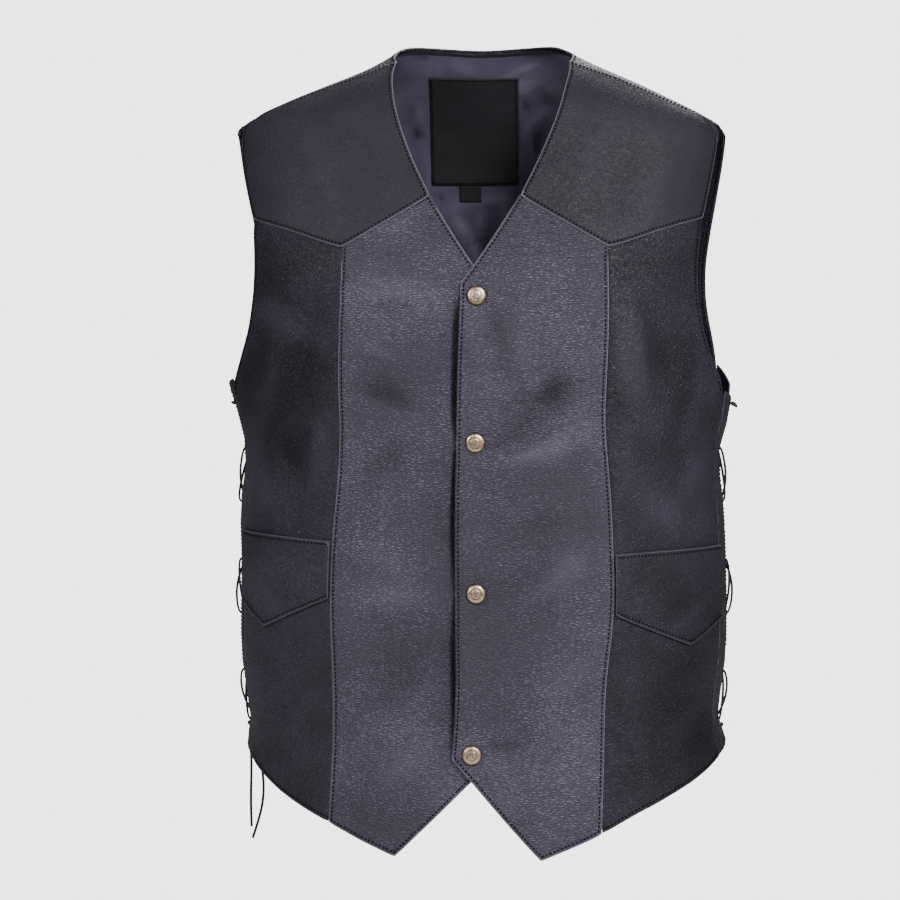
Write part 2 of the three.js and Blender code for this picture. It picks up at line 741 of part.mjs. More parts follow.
// The woven neck label and the size tab under it, cut from a layer that lies inside the lining.
const labelLayer = toSolid(
  wall(backAt, liningUs, liningTs, {
    lift: liningOuter - LINING - LAYER_GAP,
    thickness: LABEL_CLOTH,
  }),
);
for (const [name, { x, width, top, bottom }] of [
  ["neck_label", LABEL],
  ["size_tab", SIZE_TAB],
]) {
  const depth = 200;
  const cutter = new THREE.BoxGeometry(width, depth, top - bottom);
  cutter.translate(x, depth / 2, (top + bottom) / 2);
  add(name, fromSolid(labelLayer.intersect(toSolid(cutter))), LABEL_BLACK);
}

// Snaps: a domed cap outside, a post through both fronts, and the riveted foot inside.
const capBase = OVERLAP_RISE + 0.5;
const footTop = -UNDERLAP_DROP - LEATHER - 1.6;
const snapProfile = [
  [0, footTop - 1.4],
  [5.4, footTop - 1.2],
  [6, footTop],
  [SNAP_POST_RADIUS, footTop],
  [SNAP_POST_RADIUS, capBase],
  [SNAP_CAP_RADIUS - 0.5, capBase],
  [SNAP_CAP_RADIUS, capBase + 0.6],
  [7.2, capBase + 2.1],
  [4.4, capBase + 3.2],
  [0, capBase + 3.6],
].map(([radius, height]) => new THREE.Vector2(radius, height));
snapCharts.forEach((chart, i) => {
  add(`snap_${i + 1}`, standOn(new THREE.LatheGeometry(snapProfile, 16), chart, 0), AGED_BRASS);
});

// A lace keeps a ring of its tube at each point of its route.
class LaceRoute extends THREE.CatmullRomCurve3 {
  getUtoTmapping(share) {
    return share;
  }
}

function laceTube(points) {
  const section = new THREE.Shape();
  for (let k = 0; k < 8; k += 1) {
    const angle = (Math.PI / 4) * k;
    const corner = [LACE_RADIUS * Math.cos(angle), LACE_RADIUS * Math.sin(angle)];
    if (k) section.lineTo(...corner);
    else section.moveTo(...corner);
  }
  section.closePath();
  return new THREE.ExtrudeGeometry(section, {
    steps: points.length - 1,
    curveSegments: 1,
    extrudePath: new LaceRoute(points, false, "centripetal"),
  });
}

// Laces. From a bar across the top eyelets, each half drops inside to the second row, crosses
// outside to the third, drops inside to the fourth, and so on down to a knot in the opening.
const EYELET_ANGLES = [FRONT_STRIP.laced - EYELET_INSET, BACK_STRIP.laced + EYELET_INSET];
const OPENING_MIDDLE = (FRONT_STRIP.laced + BACK_STRIP.laced) / 2;
const OUTSIDE = LACE_RADIUS + LACE_CLEARANCE;
const INSIDE = -LEATHER - OUTSIDE;

for (const side of SIDES) {
  const at = (angle, z, lift) => lifted(onSide(angle, z, side), lift);
  const lastRow = LACE_ROWS.length - 1;
  const knot = at(OPENING_MIDDLE, LACE_ROWS[lastRow] - KNOT_DROP, 0.5);

  const half = (strand) => {
    const angleOf = (row) => EYELET_ANGLES[(Math.floor(row / 2) + strand) % 2];
    const bow = strand === 0 ? LACE_BOW.over : LACE_BOW.under;
    const points = [];
    LACE_ROWS.forEach((z, row) => {
      const angle = angleOf(row);
      const goesIn = row % 2 === 0;
      const lifts = goesIn ? [OUTSIDE, -LEATHER / 2, INSIDE] : [INSIDE, -LEATHER / 2, OUTSIDE];
      const lead = [1.2, 0, -1.2];
      lifts.forEach((lift, i) => points.push(at(angle, z + lead[i], lift)));
      if (row === lastRow) return;
      const next = { angle: angleOf(row + 1), z: LACE_ROWS[row + 1] };
      const steps = goesIn ? [0.5] : [0.25, 0.5, 0.75];
      for (const share of steps) {
        const rise = goesIn ? INSIDE : THREE.MathUtils.lerp(OUTSIDE, bow, Math.sin(Math.PI * share));
        points.push(
          at(THREE.MathUtils.lerp(angle, next.angle, share), THREE.MathUtils.lerp(z, next.z, share), rise),
        );
      }
    });
    const turnIn = THREE.MathUtils.lerp(angleOf(lastRow), OPENING_MIDDLE, 0.55);
    const last = at(turnIn, LACE_ROWS[lastRow] - 3.6, INSIDE + 0.4);
    const end = knot.clone().add(last.clone().sub(knot).setLength(KNOT_RADIUS + 0.4));
    return [...points, last, end];
  };

  const { bow: topBow, sag } = TOP_BAR[side];
  const bar = [0.15, 0.5, 0.85].map((share) =>
    at(
      THREE.MathUtils.lerp(EYELET_ANGLES[0], EYELET_ANGLES[1], share),
      LACE_ROWS[0] + 2.4 - sag * Math.sin(Math.PI * share),
      THREE.MathUtils.lerp(OUTSIDE, topBow, Math.sin(Math.PI * share)),
    ),
  );
  add(`lace_${side}`, laceTube([...half(0).reverse(), ...bar, ...half(1)]), LACE_BLACK);
  add(`knot_${side}`, new THREE.SphereGeometry(KNOT_RADIUS, 16, 12).translate(...knot), LACE_BLACK);
}

LACE_TAILS.forEach((route, i) => {
  add(`lace_tail_${i + 1}`, laceTube(route.map((point) => new THREE.Vector3(...point))), LACE_BLACK);
});

export default group;
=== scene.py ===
import math

import bmesh
import bpy
import numpy as np
from mathutils import Matrix, Vector, noise
from mathutils.bvhtree import BVHTree
from mathutils.kdtree import KDTree


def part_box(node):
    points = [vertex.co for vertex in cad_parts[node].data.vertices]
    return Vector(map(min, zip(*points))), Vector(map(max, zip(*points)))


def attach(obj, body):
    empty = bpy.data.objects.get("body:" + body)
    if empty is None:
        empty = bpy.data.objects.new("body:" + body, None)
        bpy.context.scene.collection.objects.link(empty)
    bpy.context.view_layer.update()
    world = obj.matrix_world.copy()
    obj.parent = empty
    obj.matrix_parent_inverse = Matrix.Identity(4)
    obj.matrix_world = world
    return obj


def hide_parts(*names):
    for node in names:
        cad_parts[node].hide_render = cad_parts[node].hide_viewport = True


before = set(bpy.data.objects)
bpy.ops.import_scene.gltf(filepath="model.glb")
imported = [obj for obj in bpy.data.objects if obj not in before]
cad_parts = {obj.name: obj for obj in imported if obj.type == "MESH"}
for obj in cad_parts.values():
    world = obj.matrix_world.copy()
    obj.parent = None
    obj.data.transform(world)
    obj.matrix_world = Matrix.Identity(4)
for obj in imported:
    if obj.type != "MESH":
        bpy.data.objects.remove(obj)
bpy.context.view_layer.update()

scene = bpy.context.scene

# Camera. A long lens looks level at the vest from 3 m. It stands a little toward the wearer's
# left, and its aim puts the vest where the photograph has it in the frame.
VIEW_TARGET = Vector((-0.0265, 0, -0.352))
VIEW_DISTANCE = 3.0
VIEW_TURN = math.radians(3)
LENS_MM = 135.6
FILM_MM = 36

camera_data = bpy.data.cameras.new("camera")
camera_data.lens = LENS_MM
camera_data.sensor_width = FILM_MM
camera = bpy.data.objects.new("camera", camera_data)
camera.rotation_euler = (math.pi / 2, 0, VIEW_TURN)
view_from = Vector((math.sin(VIEW_TURN), -math.cos(VIEW_TURN), 0))
camera.location = VIEW_TARGET + VIEW_DISTANCE * view_from
scene.collection.objects.link(camera)
scene.camera = camera

# Loose lace ends. The side lace is one round black leather cord, and below the knot at the
# wearer's right its two cut ends hang down past the hem, limp and slightly waved.
LACE_DIAMETER = 0.0024
LACE_ENDS = {
    "lace_tail_1": [
        (-0.2047, 0.0032, -0.5989), (-0.2045, 0.0035, -0.6058), (-0.2041, 0.0035, -0.6120),
        (-0.2038, 0.0037, -0.6182), (-0.2036, 0.0039, -0.6244), (-0.2035, 0.0041, -0.6306),
        (-0.2035, 0.0042, -0.6368), (-0.2036, 0.0042, -0.6430), (-0.2037, 0.0041, -0.6492),
        (-0.2038, 0.0039, -0.6554), (-0.2038, 0.0037, -0.6616), (-0.2037, 0.0035, -0.6678),
        (-0.2036, 0.0034, -0.6740), (-0.2034, 0.0034, -0.6802), (-0.2032, 0.0035, -0.6865),
    ],
    "lace_tail_2": [
        (-0.2026, 0.0062, -0.5985), (-0.2018, 0.0079, -0.6050), (-0.2001, 0.0083, -0.6110),
        (-0.1984, 0.0085, -0.6172), (-0.1969, 0.0085, -0.6234), (-0.1955, 0.0084, -0.6296),
        (-0.1944, 0.0082, -0.6358), (-0.1936, 0.0080, -0.6420), (-0.1931, 0.0078, -0.6483),
        (-0.1930, 0.0076, -0.6546), (-0.1934, 0.0075, -0.6609), (-0.1942, 0.0075, -0.6672),
        (-0.1955, 0.0075, -0.6734), (-0.1971, 0.0076, -0.6795), (-0.1989, 0.0078, -0.6855),
        (-0.2008, 0.0080, -0.6914), (-0.2028, 0.0083, -0.6972),
    ],
}


def wired(tree, kind, **inputs):
    """A new node whose inputs are given as values or as another node's output."""
    made = tree.nodes.new(kind)
    for name, value in inputs.items():
        socket = made.inputs[name.replace("_", " ")]
        if isinstance(value, bpy.types.NodeSocket):
            tree.links.new(value, socket)
        else:
            socket.default_value = value
    return made


def maths(tree, operation, first, second=0.0, third=None):
    """The result of one Math node."""
    made = tree.nodes.new("ShaderNodeMath")
    made.operation = operation
    for socket, value in zip(made.inputs, (first, second, third)):
        if isinstance(value, bpy.types.NodeSocket):
            tree.links.new(value, socket)
        elif value is not None:
            socket.default_value = value
    return made.outputs[0]


def ranged(tree, value, low, high, at_low=0.0, at_high=1.0):
    """A value eased from one range into another."""
    made = tree.nodes.new("ShaderNodeMapRange")
    made.interpolation_type = "SMOOTHSTEP"
    tree.links.new(value, made.inputs["Value"])
    for name, number in (("From Min", low), ("From Max", high), ("To Min", at_low), ("To Max", at_high)):
        made.inputs[name].default_value = number
    return made.outputs["Result"]


def mixed(tree, share, first, second):
    """A colour between two, as an RGBA output."""
    made = tree.nodes.new("ShaderNodeMixRGB")
    for socket, value in zip(made.inputs, (share, first, second)):
        if isinstance(value, bpy.types.NodeSocket):
            tree.links.new(value, socket)
        else:
            socket.default_value = value if isinstance(value, float) else (*value, 1.0)
    return made.outputs["Color"]


def stretched(tree, scale):
    """Object coordinates, scaled along each axis."""
    place = tree.nodes.new("ShaderNodeTexCoord")
    mapping = wired(tree, "ShaderNodeMapping", Vector=place.outputs["Object"], Scale=scale)
    return mapping.outputs["Vector"]


def bumped(tree, shader, height, depth):
    """Gives the shader a bump of that depth in metres."""
    bump = wired(tree, "ShaderNodeBump", Height=height, Distance=depth)
    tree.links.new(bump.outputs["Normal"], shader.inputs["Normal"])


def new_material(name, roughness, metallic=0.0):
    """A material with its shader, ready for its colour and bump."""
    material = bpy.data.materials.new(name)
    material.use_nodes = True
    shader = material.node_tree.nodes["Principled BSDF"]
    shader.inputs["Roughness"].default_value = roughness
    shader.inputs["Metallic"].default_value = metallic
    return material, material.node_tree, shader


lace_leather, tree, shader = new_material("lace leather", roughness=0.42)
scuffs = wired(tree, "ShaderNodeTexNoise", Vector=stretched(tree, (900, 900, 160)), Scale=1.0, Detail=3.0)
colour = mixed(tree, ranged(tree, scuffs.outputs["Fac"], 0.35, 0.75), (0.004, 0.004, 0.005),
               (0.022, 0.021, 0.026))
tree.links.new(colour, shader.inputs["Base Color"])
bumped(tree, shader, scuffs.outputs["Fac"], depth=0.0001)


def cord_curve(name, points, diameter):
    """A round cord along a smooth curve through the points."""
    curve = bpy.data.curves.new(name, "CURVE")
    curve.dimensions = "3D"
    curve.bevel_depth = diameter / 2
    curve.bevel_resolution = 3
    curve.resolution_u = 6
    curve.use_fill_caps = True
    spline = curve.splines.new("BEZIER")
    spline.bezier_points.add(len(points) - 1)
    for knot, point in zip(spline.bezier_points, points):
        knot.co = point
        knot.handle_left_type = knot.handle_right_type = "AUTO"
    curve.materials.append(lace_leather)
    made = bpy.data.objects.new(name, curve)
    scene.collection.objects.link(made)
    return made


for node, route in LACE_ENDS.items():
    lace_end = cord_curve(f"{node}_cord", route, LACE_DIAMETER)
    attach(lace_end, "root")
    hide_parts(node)

# Side laces. The same cord threads both strips of each open side in crosses, and a small hard
# knot in the opening closes each one off.
KNOT_REACH = 0.0036
KNOT_CORD = 0.0022
KNOT_POINTS = 24
MERGE_DISTANCE = 2e-6
FLATTEST_JOIN = math.radians(50)
ANY_QUAD = math.radians(180)
SIDES = ("left", "right")


def joined_copy(node):
    """A CAD node's loose triangles, joined at their corners."""
    shape = bmesh.new()
    shape.from_mesh(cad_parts[node].data)
    bmesh.ops.remove_doubles(shape, verts=shape.verts, dist=MERGE_DISTANCE)
    return shape


def squared_off(shape, cmp_materials):
    """Joins the triangles in pairs, so that Subdivision Surface rounds them evenly."""
    bmesh.ops.join_triangles(shape, faces=shape.faces, cmp_materials=cmp_materials,
                             angle_face_threshold=FLATTEST_JOIN, angle_shape_threshold=ANY_QUAD)


def object_from(shape, name, *materials):
    """Turns a bmesh into a linked, smooth-shaded object."""
    mesh = bpy.data.meshes.new(name)
    shape.to_mesh(mesh)
    shape.free()
    for material in materials:
        mesh.materials.append(material)
    mesh.polygons.foreach_set("use_smooth", [True] * len(mesh.polygons))
    made = bpy.data.objects.new(name, mesh)
    scene.collection.objects.link(made)
    return made


def settle(piece, kind, levels, **settings):
    """Adds a modifier and applies it to the piece's mesh."""
    modifier = piece.modifiers.new(kind.lower(), kind)
    if kind == "SUBSURF":
        modifier.levels = modifier.render_levels = levels
    for name, value in settings.items():
        setattr(modifier, name, value)
    finished = piece.evaluated_get(bpy.context.evaluated_depsgraph_get())
    mesh = bpy.data.meshes.new_from_object(finished)
    piece.modifiers.clear()
    old, piece.data = piece.data, mesh
    bpy.data.meshes.remove(old)
    mesh.name = piece.name


def seated(piece, slot, *nodes):
    """The piece moves with the vest and stands for its CAD nodes."""
    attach(piece, "root")
    if nodes:
        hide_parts(*nodes)


for side in SIDES:
    shape = joined_copy(f"lace_{side}")
    squared_off(shape, cmp_materials=False)
    lace = object_from(shape, f"lace_{side}_cord", lace_leather)
    settle(lace, "SUBSURF", levels=1)
    seated(lace, "lace", f"lace_{side}")

    low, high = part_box(f"knot_{side}")
    centre = (low + high) / 2
    points = []
    for i in range(KNOT_POINTS):
        turn = math.tau * i / KNOT_POINTS
        lobe = Vector((
            math.sin(turn) + 2 * math.sin(2 * turn),
            math.sin(3 * turn),
            math.cos(turn) - 2 * math.cos(2 * turn),
        ))
        points.append(centre + lobe / 3 * (KNOT_REACH - KNOT_CORD / 2))
    knot = cord_curve(f"knot_{side}_cord", points, KNOT_CORD)
    knot.data.splines[0].use_cyclic_u = True
    seated(knot, "lace", f"knot_{side}")

# Leather panels. Each front, yoke, welt and the back is cut from 2 mm cowhide, its edges turned
# under, and sewn down with a row of black thread. The hide is pebbled, with soft wear creases.
# Its folds and creases are painted lighter on their ridges and darker in their troughs, as painted light and
# shade.
THICKEST_HIDE = 0.0034
OUTSIDE, INSIDE, RIM = 0, 1, 2
TRUNK_HALF_WIDTH = 0.228
TRUNK_HALF_DEPTH = 0.128
CORNER = math.radians(35)
EDGE_SHARPNESS = 0.8
STITCH_PITCH = 0.0035
STITCH_LENGTH = 0.0025
STITCH_WIDTH = 0.0015
STITCH_HEIGHT = 0.0010
STITCH_RISE = 0.00010
STITCH_INSET = 0.0026
STITCH_CLEARANCE = 0.8
SHORTEST_SEAM = 0.10
PANEL_LEVELS = 2
STRIP_VOXEL = 0.0012
RAY_START = 1e-5
SMALLEST_PATCH = 1e-4
FARTHEST_MARK = 0.03
MARKS_PER_EDGE = 3

# Wear creases: from one point to another in millimetres on the front or back, how far each
# stands out (or, below zero, sinks in), and how wide it is.
CREASES = [
    ("front", 12, -352, 60, -338, -1.1, 7), ("front", 16, -364, 78, -350, 0.8, 8),
    ("front", 8, -333, 50, -312, 0.8, 7), ("front", 20, -322, 90, -286, -1.0, 9),
    ("front", 14, -482, 64, -452, -1.1, 8), ("front", 10, -462, 54, -430, 0.9, 8),
    ("front", 30, -500, 100, -486, -0.8, 9), ("front", 8, -610, 44, -600, -1.0, 7),
    ("front", 12, -232, 26, -262, -0.9, 7), ("front", 36, -246, 44, -292, 0.8, 9),
    ("front", 60, -256, 72, -316, -0.7, 11), ("front", 60, -560, 104, -534, 0.8, 12),
    ("front", 30, -640, 84, -600, -0.8, 12), ("front", 96, -380, 104, -450, -0.8, 11),
    ("front", -96, -232, -44, -236, -0.8, 9), ("front", -104, -262, -60, -276, 0.8, 9),
    ("front", -96, -300, -54, -312, -0.9, 8), ("front", -70, -330, -26, -352, 0.8, 9),
    ("front", -100, -372, -60, -350, -0.8, 9), ("front", -40, -390, -18, -440, -0.7, 9),
    ("front", -100, -440, -56, -452, 0.8, 10), ("front", -94, -500, -36, -498, -0.8, 10),
    ("front", -100, -580, -50, -548, -0.9, 12), ("front", -86, -640, -40, -606, 0.9, 12),
    ("front", -30, -560, -22, -640, -0.8, 10), ("front", -140, -240, -150, -300, -0.8, 9),
    ("front", -172, -250, -180, -310, 0.9, 9), ("front", -176, -340, -150, -372, -1.0, 9),
    ("front", -190, -380, -164, -420, 0.9, 9), ("front", -134, -300, -142, -380, 0.7, 9),
    ("front", -180, -500, -150, -520, -0.8, 9), ("front", -140, -560, -170, -600, 0.9, 11),
    ("front", -184, -600, -150, -640, -0.8, 11), ("front", 150, -230, 166, -290, -0.9, 9),
    ("front", 182, -300, 170, -352, -0.9, 9), ("front", 134, -310, 128, -392, 0.8, 10),
    ("front", 196, -360, 168, -408, 0.9, 9), ("front", 160, -424, 136, -476, -0.8, 10),
    ("front", 196, -470, 168, -500, -0.8, 9), ("front", 186, -560, 156, -596, -0.9, 10),
    ("front", 140, -600, 152, -660, 0.9, 12), ("front", -150, -88, -112, -150, 0.7, 12),
    ("front", -100, -70, -84, -130, -0.6, 11), ("front", 104, -72, 92, -140, 0.7, 12),
    ("front", 150, -96, 120, -168, -0.7, 12), ("back", -170, -270, -96, -312, -1.1, 11),
    ("back", -150, -310, -70, -362, 0.9, 12), ("back", 172, -282, 100, -330, -1.1, 11),
    ("back", 150, -330, 84, -380, 0.9, 12), ("back", -90, -420, 30, -446, -1.0, 12),
    ("back", 90, -444, -10, -478, 0.9, 12), ("back", -110, -520, -100, -600, -0.9, 13),
    ("back", 106, -520, 118, -600, -0.9, 13), ("back", -30, -500, -40, -590, 0.8, 13),
    ("back", 30, -530, 40, -606, -0.8, 13), ("back", -60, -60, -96, -140, -0.8, 13),
    ("back", 64, -60, 98, -146, -0.8, 13), ("back", 12, -110, 6, -230, 0.7, 14),
    ("back", -130, -120, -146, -200, 0.8, 11), ("back", 136, -120, 148, -200, 0.8, 11),
]
# Painted highlight on the ridges and painted shade in the troughs of the solids' own large folds, in the
# same form.
FOLD_LIGHT_AND_SHADE = [
    ("front", 4, -345, 98, -296, -5.0, 17), ("front", 30, -356, 112, -328, 3.0, 18),
    ("front", 8, -470, 78, -398, -4.0, 18), ("front", 30, -474, 116, -436, 3.0, 20),
    ("front", 2, -604, 60, -588, -3.0, 14), ("front", 20, -240, 26, -300, -2.5, 12),
    ("front", -104, -286, -46, -318, -3.5, 18), ("front", -112, -212, -30, -228, 3.0, 24),
    ("front", -108, -400, -52, -352, -3.0, 20), ("front", -106, -478, -30, -480, 2.5, 20),
    ("front", -112, -560, -40, -520, -2.5, 22), ("front", 150, -318, 180, -232, -4.0, 16),
    ("front", 126, -222, 140, -300, 3.0, 18), ("front", -150, -318, -158, -420, -4.0, 16),
    ("front", -188, -300, -196, -420, 4.0, 13), ("front", 188, -330, 200, -430, 3.5, 14),
    ("front", -196, -520, -160, -556, -3.5, 15), ("front", 196, -540, 168, -600, 3.0, 15),
    ("front", -190, -226, -120, -268, 5.0, 15), ("front", -128, -330, -150, -400, 4.0, 13),
    ("front", -206, -450, -160, -508, 4.0, 12), ("front", 128, -240, 150, -330, 5.0, 13),
    ("front", 186, -250, 176, -330, -4.5, 11), ("front", 140, -380, 176, -430, 4.5, 15),
    ("front", 204, -470, 160, -512, 4.0, 12), ("front", 130, -620, 176, -660, -4.0, 18),
    ("back", -150, -250, -60, -330, -4.5, 24), ("back", 160, -262, 70, -348, -4.0, 22),
    ("back", -120, -400, 20, -436, 3.5, 26), ("back", 130, -430, 30, -474, -3.5, 24),
    ("back", -60, -470, -80, -600, -3.5, 26), ("back", 70, -480, 96, -610, 3.5, 26),
    ("back", -4, -90, 4, -220, -2.5, 30),
]
CREASE_GAIN = 1.9
CREASE_TAPER = 0.6
UNEVENNESS = [(0.45, 17), (0.22, 48)]
SNAP_FLAT_RADIUS = 0.013
SNAP_FLAT_GAIN = 1.6
SIDE_FLAT_DEPTH = 0.036
SIDE_NEAREST = 0.15
SIDE_FLAT_SHARE = 0.8
SNAP_NODES = ["snap_1", "snap_2", "snap_3", "snap_4"]
snap_places = [(low + high) / 2 for low, high in map(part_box, SNAP_NODES)]


def relief(points, rows):
    """How far each point stands out or sinks in by the rows of creases, in millimetres."""
    flat = points[:, [0, 2]] * 1000
    lift = np.zeros(len(points))
    for on, x0, z0, x1, z1, height, width in rows:
        start, run = np.array([x0, z0]), np.array([x1 - x0, z1 - z0])
        along = np.clip((flat - start) @ run / (run @ run), 0, 1)
        off = np.linalg.norm(flat - start - along[:, None] * run, axis=1)
        taper = 1 - CREASE_TAPER * np.abs(2 * along - 1) ** 2
        facing = points[:, 1] < 0 if on == "front" else points[:, 1] >= 0
        lift += facing * height * taper * np.exp(-((off / width) ** 2))
    return lift


def worn(points):
    """Moves points out and in by the wear creases and a slow unevenness of the hide."""
    out = np.stack([points[:, 0] / TRUNK_HALF_WIDTH**2, points[:, 1] / TRUNK_HALF_DEPTH**2], 1)
    out /= np.linalg.norm(out, axis=1, keepdims=True) + 1e-9
    lift = CREASE_GAIN * relief(points, CREASES)
    lift += [
        sum(height * noise.noise(Vector(point) * pitch) for height, pitch in UNEVENNESS)
        for point in points
    ]
    for place in snap_places:
        near = np.linalg.norm(points - np.array(place), axis=1) / SNAP_FLAT_RADIUS
        lift *= 1 - np.exp(-(near**2) * SNAP_FLAT_GAIN)
    at_side = np.exp(-((points[:, 1] / SIDE_FLAT_DEPTH) ** 2)) * (np.abs(points[:, 0]) > SIDE_NEAREST)
    lift *= 1 - SIDE_FLAT_SHARE * at_side
    moved = points.copy()
    moved[:, :2] += out * lift[:, None] * 0.001
    return moved


def outward(place):
    """The way out of the trunk at a place on it."""
    return Vector((place.x / TRUNK_HALF_WIDTH**2, place.y / TRUNK_HALF_DEPTH**2, 0)).normalized()


def sort_faces(shape, thickest):
    """Marks the faces of a thin wall as its outside, its inside or its rim."""
    tree = BVHTree.FromBMesh(shape)
    broad = {}
    for face in shape.faces:
        face.material_index = RIM
        start = face.calc_center_median() - face.normal * RAY_START
        depth = tree.ray_cast(start, -face.normal)[3]
        if depth is not None and depth < thickest:
            broad[face] = True
    while broad:
        patch = [broad.popitem()[0]]
        for face in patch:
            for edge in face.edges:
                for other in edge.link_faces:
                    if other in broad:
                        del broad[other]
                        patch.append(other)
        faces_out = 0.0
        for face in patch:
            faces_out += face.calc_area() * face.normal.dot(outward(face.calc_center_median()))
        if sum(face.calc_area() for face in patch) > SMALLEST_PATCH:
            for face in patch:
                face.material_index = OUTSIDE if faces_out > 0 else INSIDE


def rim_rows(shape):
    """The closed rows of edges between the outside and the rim, as (point, tangent, inward)."""
    border = {}
    for edge in shape.edges:
        sides = sorted(face.material_index for face in edge.link_faces)
        if sides == [OUTSIDE, RIM]:
            for vert in edge.verts:
                border.setdefault(vert, []).append(edge)
    left = dict.fromkeys(edge for edges in border.values() for edge in edges)
    rows = []
    while left:
        edge = next(iter(left))
        del left[edge]
        start = vert = edge.verts[0]
        row = []
        while True:
            onward = edge.other_vert(vert)
            face = next(f for f in edge.link_faces if f.material_index == OUTSIDE)
            tangent = (onward.co - vert.co).normalized()
            inward = face.normal.cross(tangent).normalized()
            if inward.dot(face.calc_center_median() - vert.co) < 0:
                inward = -inward
            row.append((vert.co.copy(), onward.co.copy(), tangent, inward))
            vert = onward
            following = [other for other in border[vert] if other in left]
            if vert == start or not following:
                break
            edge = following[0]
            del left[edge]
        rows.append(row)
    return rows


thread, tree, shader = new_material("sewing thread", roughness=0.6)
shader.inputs["Base Color"].default_value = (0.002, 0.002, 0.003, 1)
shader.inputs["Specular IOR Level"].default_value = 0.12
fibres = wired(tree, "ShaderNodeTexNoise", Vector=stretched(tree, (2600, 2600, 2600)), Scale=1.0)
bumped(tree, shader, fibres.outputs["Fac"], depth=0.0001)


def sewn(name, panel, rows, keep, inset=STITCH_INSET):
    """Lays stitches along rows of rim edges, a little in from the edge, on the wall's outside."""
    outside = [face for face in panel.faces if face.material_index == OUTSIDE]
    if not any(keep((a + b) / 2, inward) for row in rows for a, b, _, inward in row):
        return []
    tree = BVHTree.FromPolygons(
        [vert.co for vert in panel.verts], [[vert.index for vert in face.verts] for face in outside],
    )
    rim_points = [point for row in rows for point, _, _, _ in row]
    near_rim = KDTree(len(rim_points))
    for i, point in enumerate(rim_points):
        near_rim.insert(point, i)
    near_rim.balance()
    shape = bmesh.new()
    bmesh.ops.create_uvsphere(
        shape, u_segments=6, v_segments=4, radius=1,
        matrix=Matrix.Diagonal((STITCH_LENGTH / 2, STITCH_WIDTH / 2, STITCH_HEIGHT / 2, 1)),
    )
    stitch = bpy.data.meshes.new("stitch")
    shape.to_mesh(stitch)
    shape.free()
    stitch_form = np.array([vert.co[:] for vert in stitch.vertices])
    stitches = bmesh.new()
    kept_edges = []
    for row in rows:
        if sum((b - a).length for a, b, _, _ in row) < SHORTEST_SEAM:
            continue
        travelled, due = 0.0, 0.0
        for start, end, tangent, inward in row:
            span = (end - start).length
            middle = (start + end) / 2
            wanted = keep(middle, inward)
            if wanted:
                kept_edges.append((start, end))
            while due < travelled + span:
                place = start + tangent * (due - travelled) + inward * inset
                due += STITCH_PITCH
                spot, normal, _, _ = tree.find_nearest(place)
                if not wanted or near_rim.find(spot)[2] < inset * STITCH_CLEARANCE:
                    continue
                along = (tangent - normal * tangent.dot(normal)).normalized()
                turned = np.array((along, normal.cross(along), normal))
                laid = stitch_form @ turned + np.array(spot + normal * STITCH_RISE)
                stitch.vertices.foreach_set("co", laid.ravel())
                stitches.from_mesh(stitch)
            travelled += span
    if not stitches.verts:
        stitches.free()
        return kept_edges
    row_of_stitches = object_from(stitches, name, thread)
    seated(row_of_stitches, "lace")
    return kept_edges


def distances(points, edges):
    """How far each point is from the nearest of some edges, in metres, up to a limit."""
    if not edges:
        return np.full(len(points), FARTHEST_MARK)
    marks = [a.lerp(b, step / MARKS_PER_EDGE) for a, b in edges for step in range(MARKS_PER_EDGE)]
    tree = KDTree(len(marks))
    for i, mark in enumerate(marks):
        tree.insert(mark, i)
    tree.balance()
    return np.minimum([tree.find(Vector(point))[2] for point in points], FARTHEST_MARK)


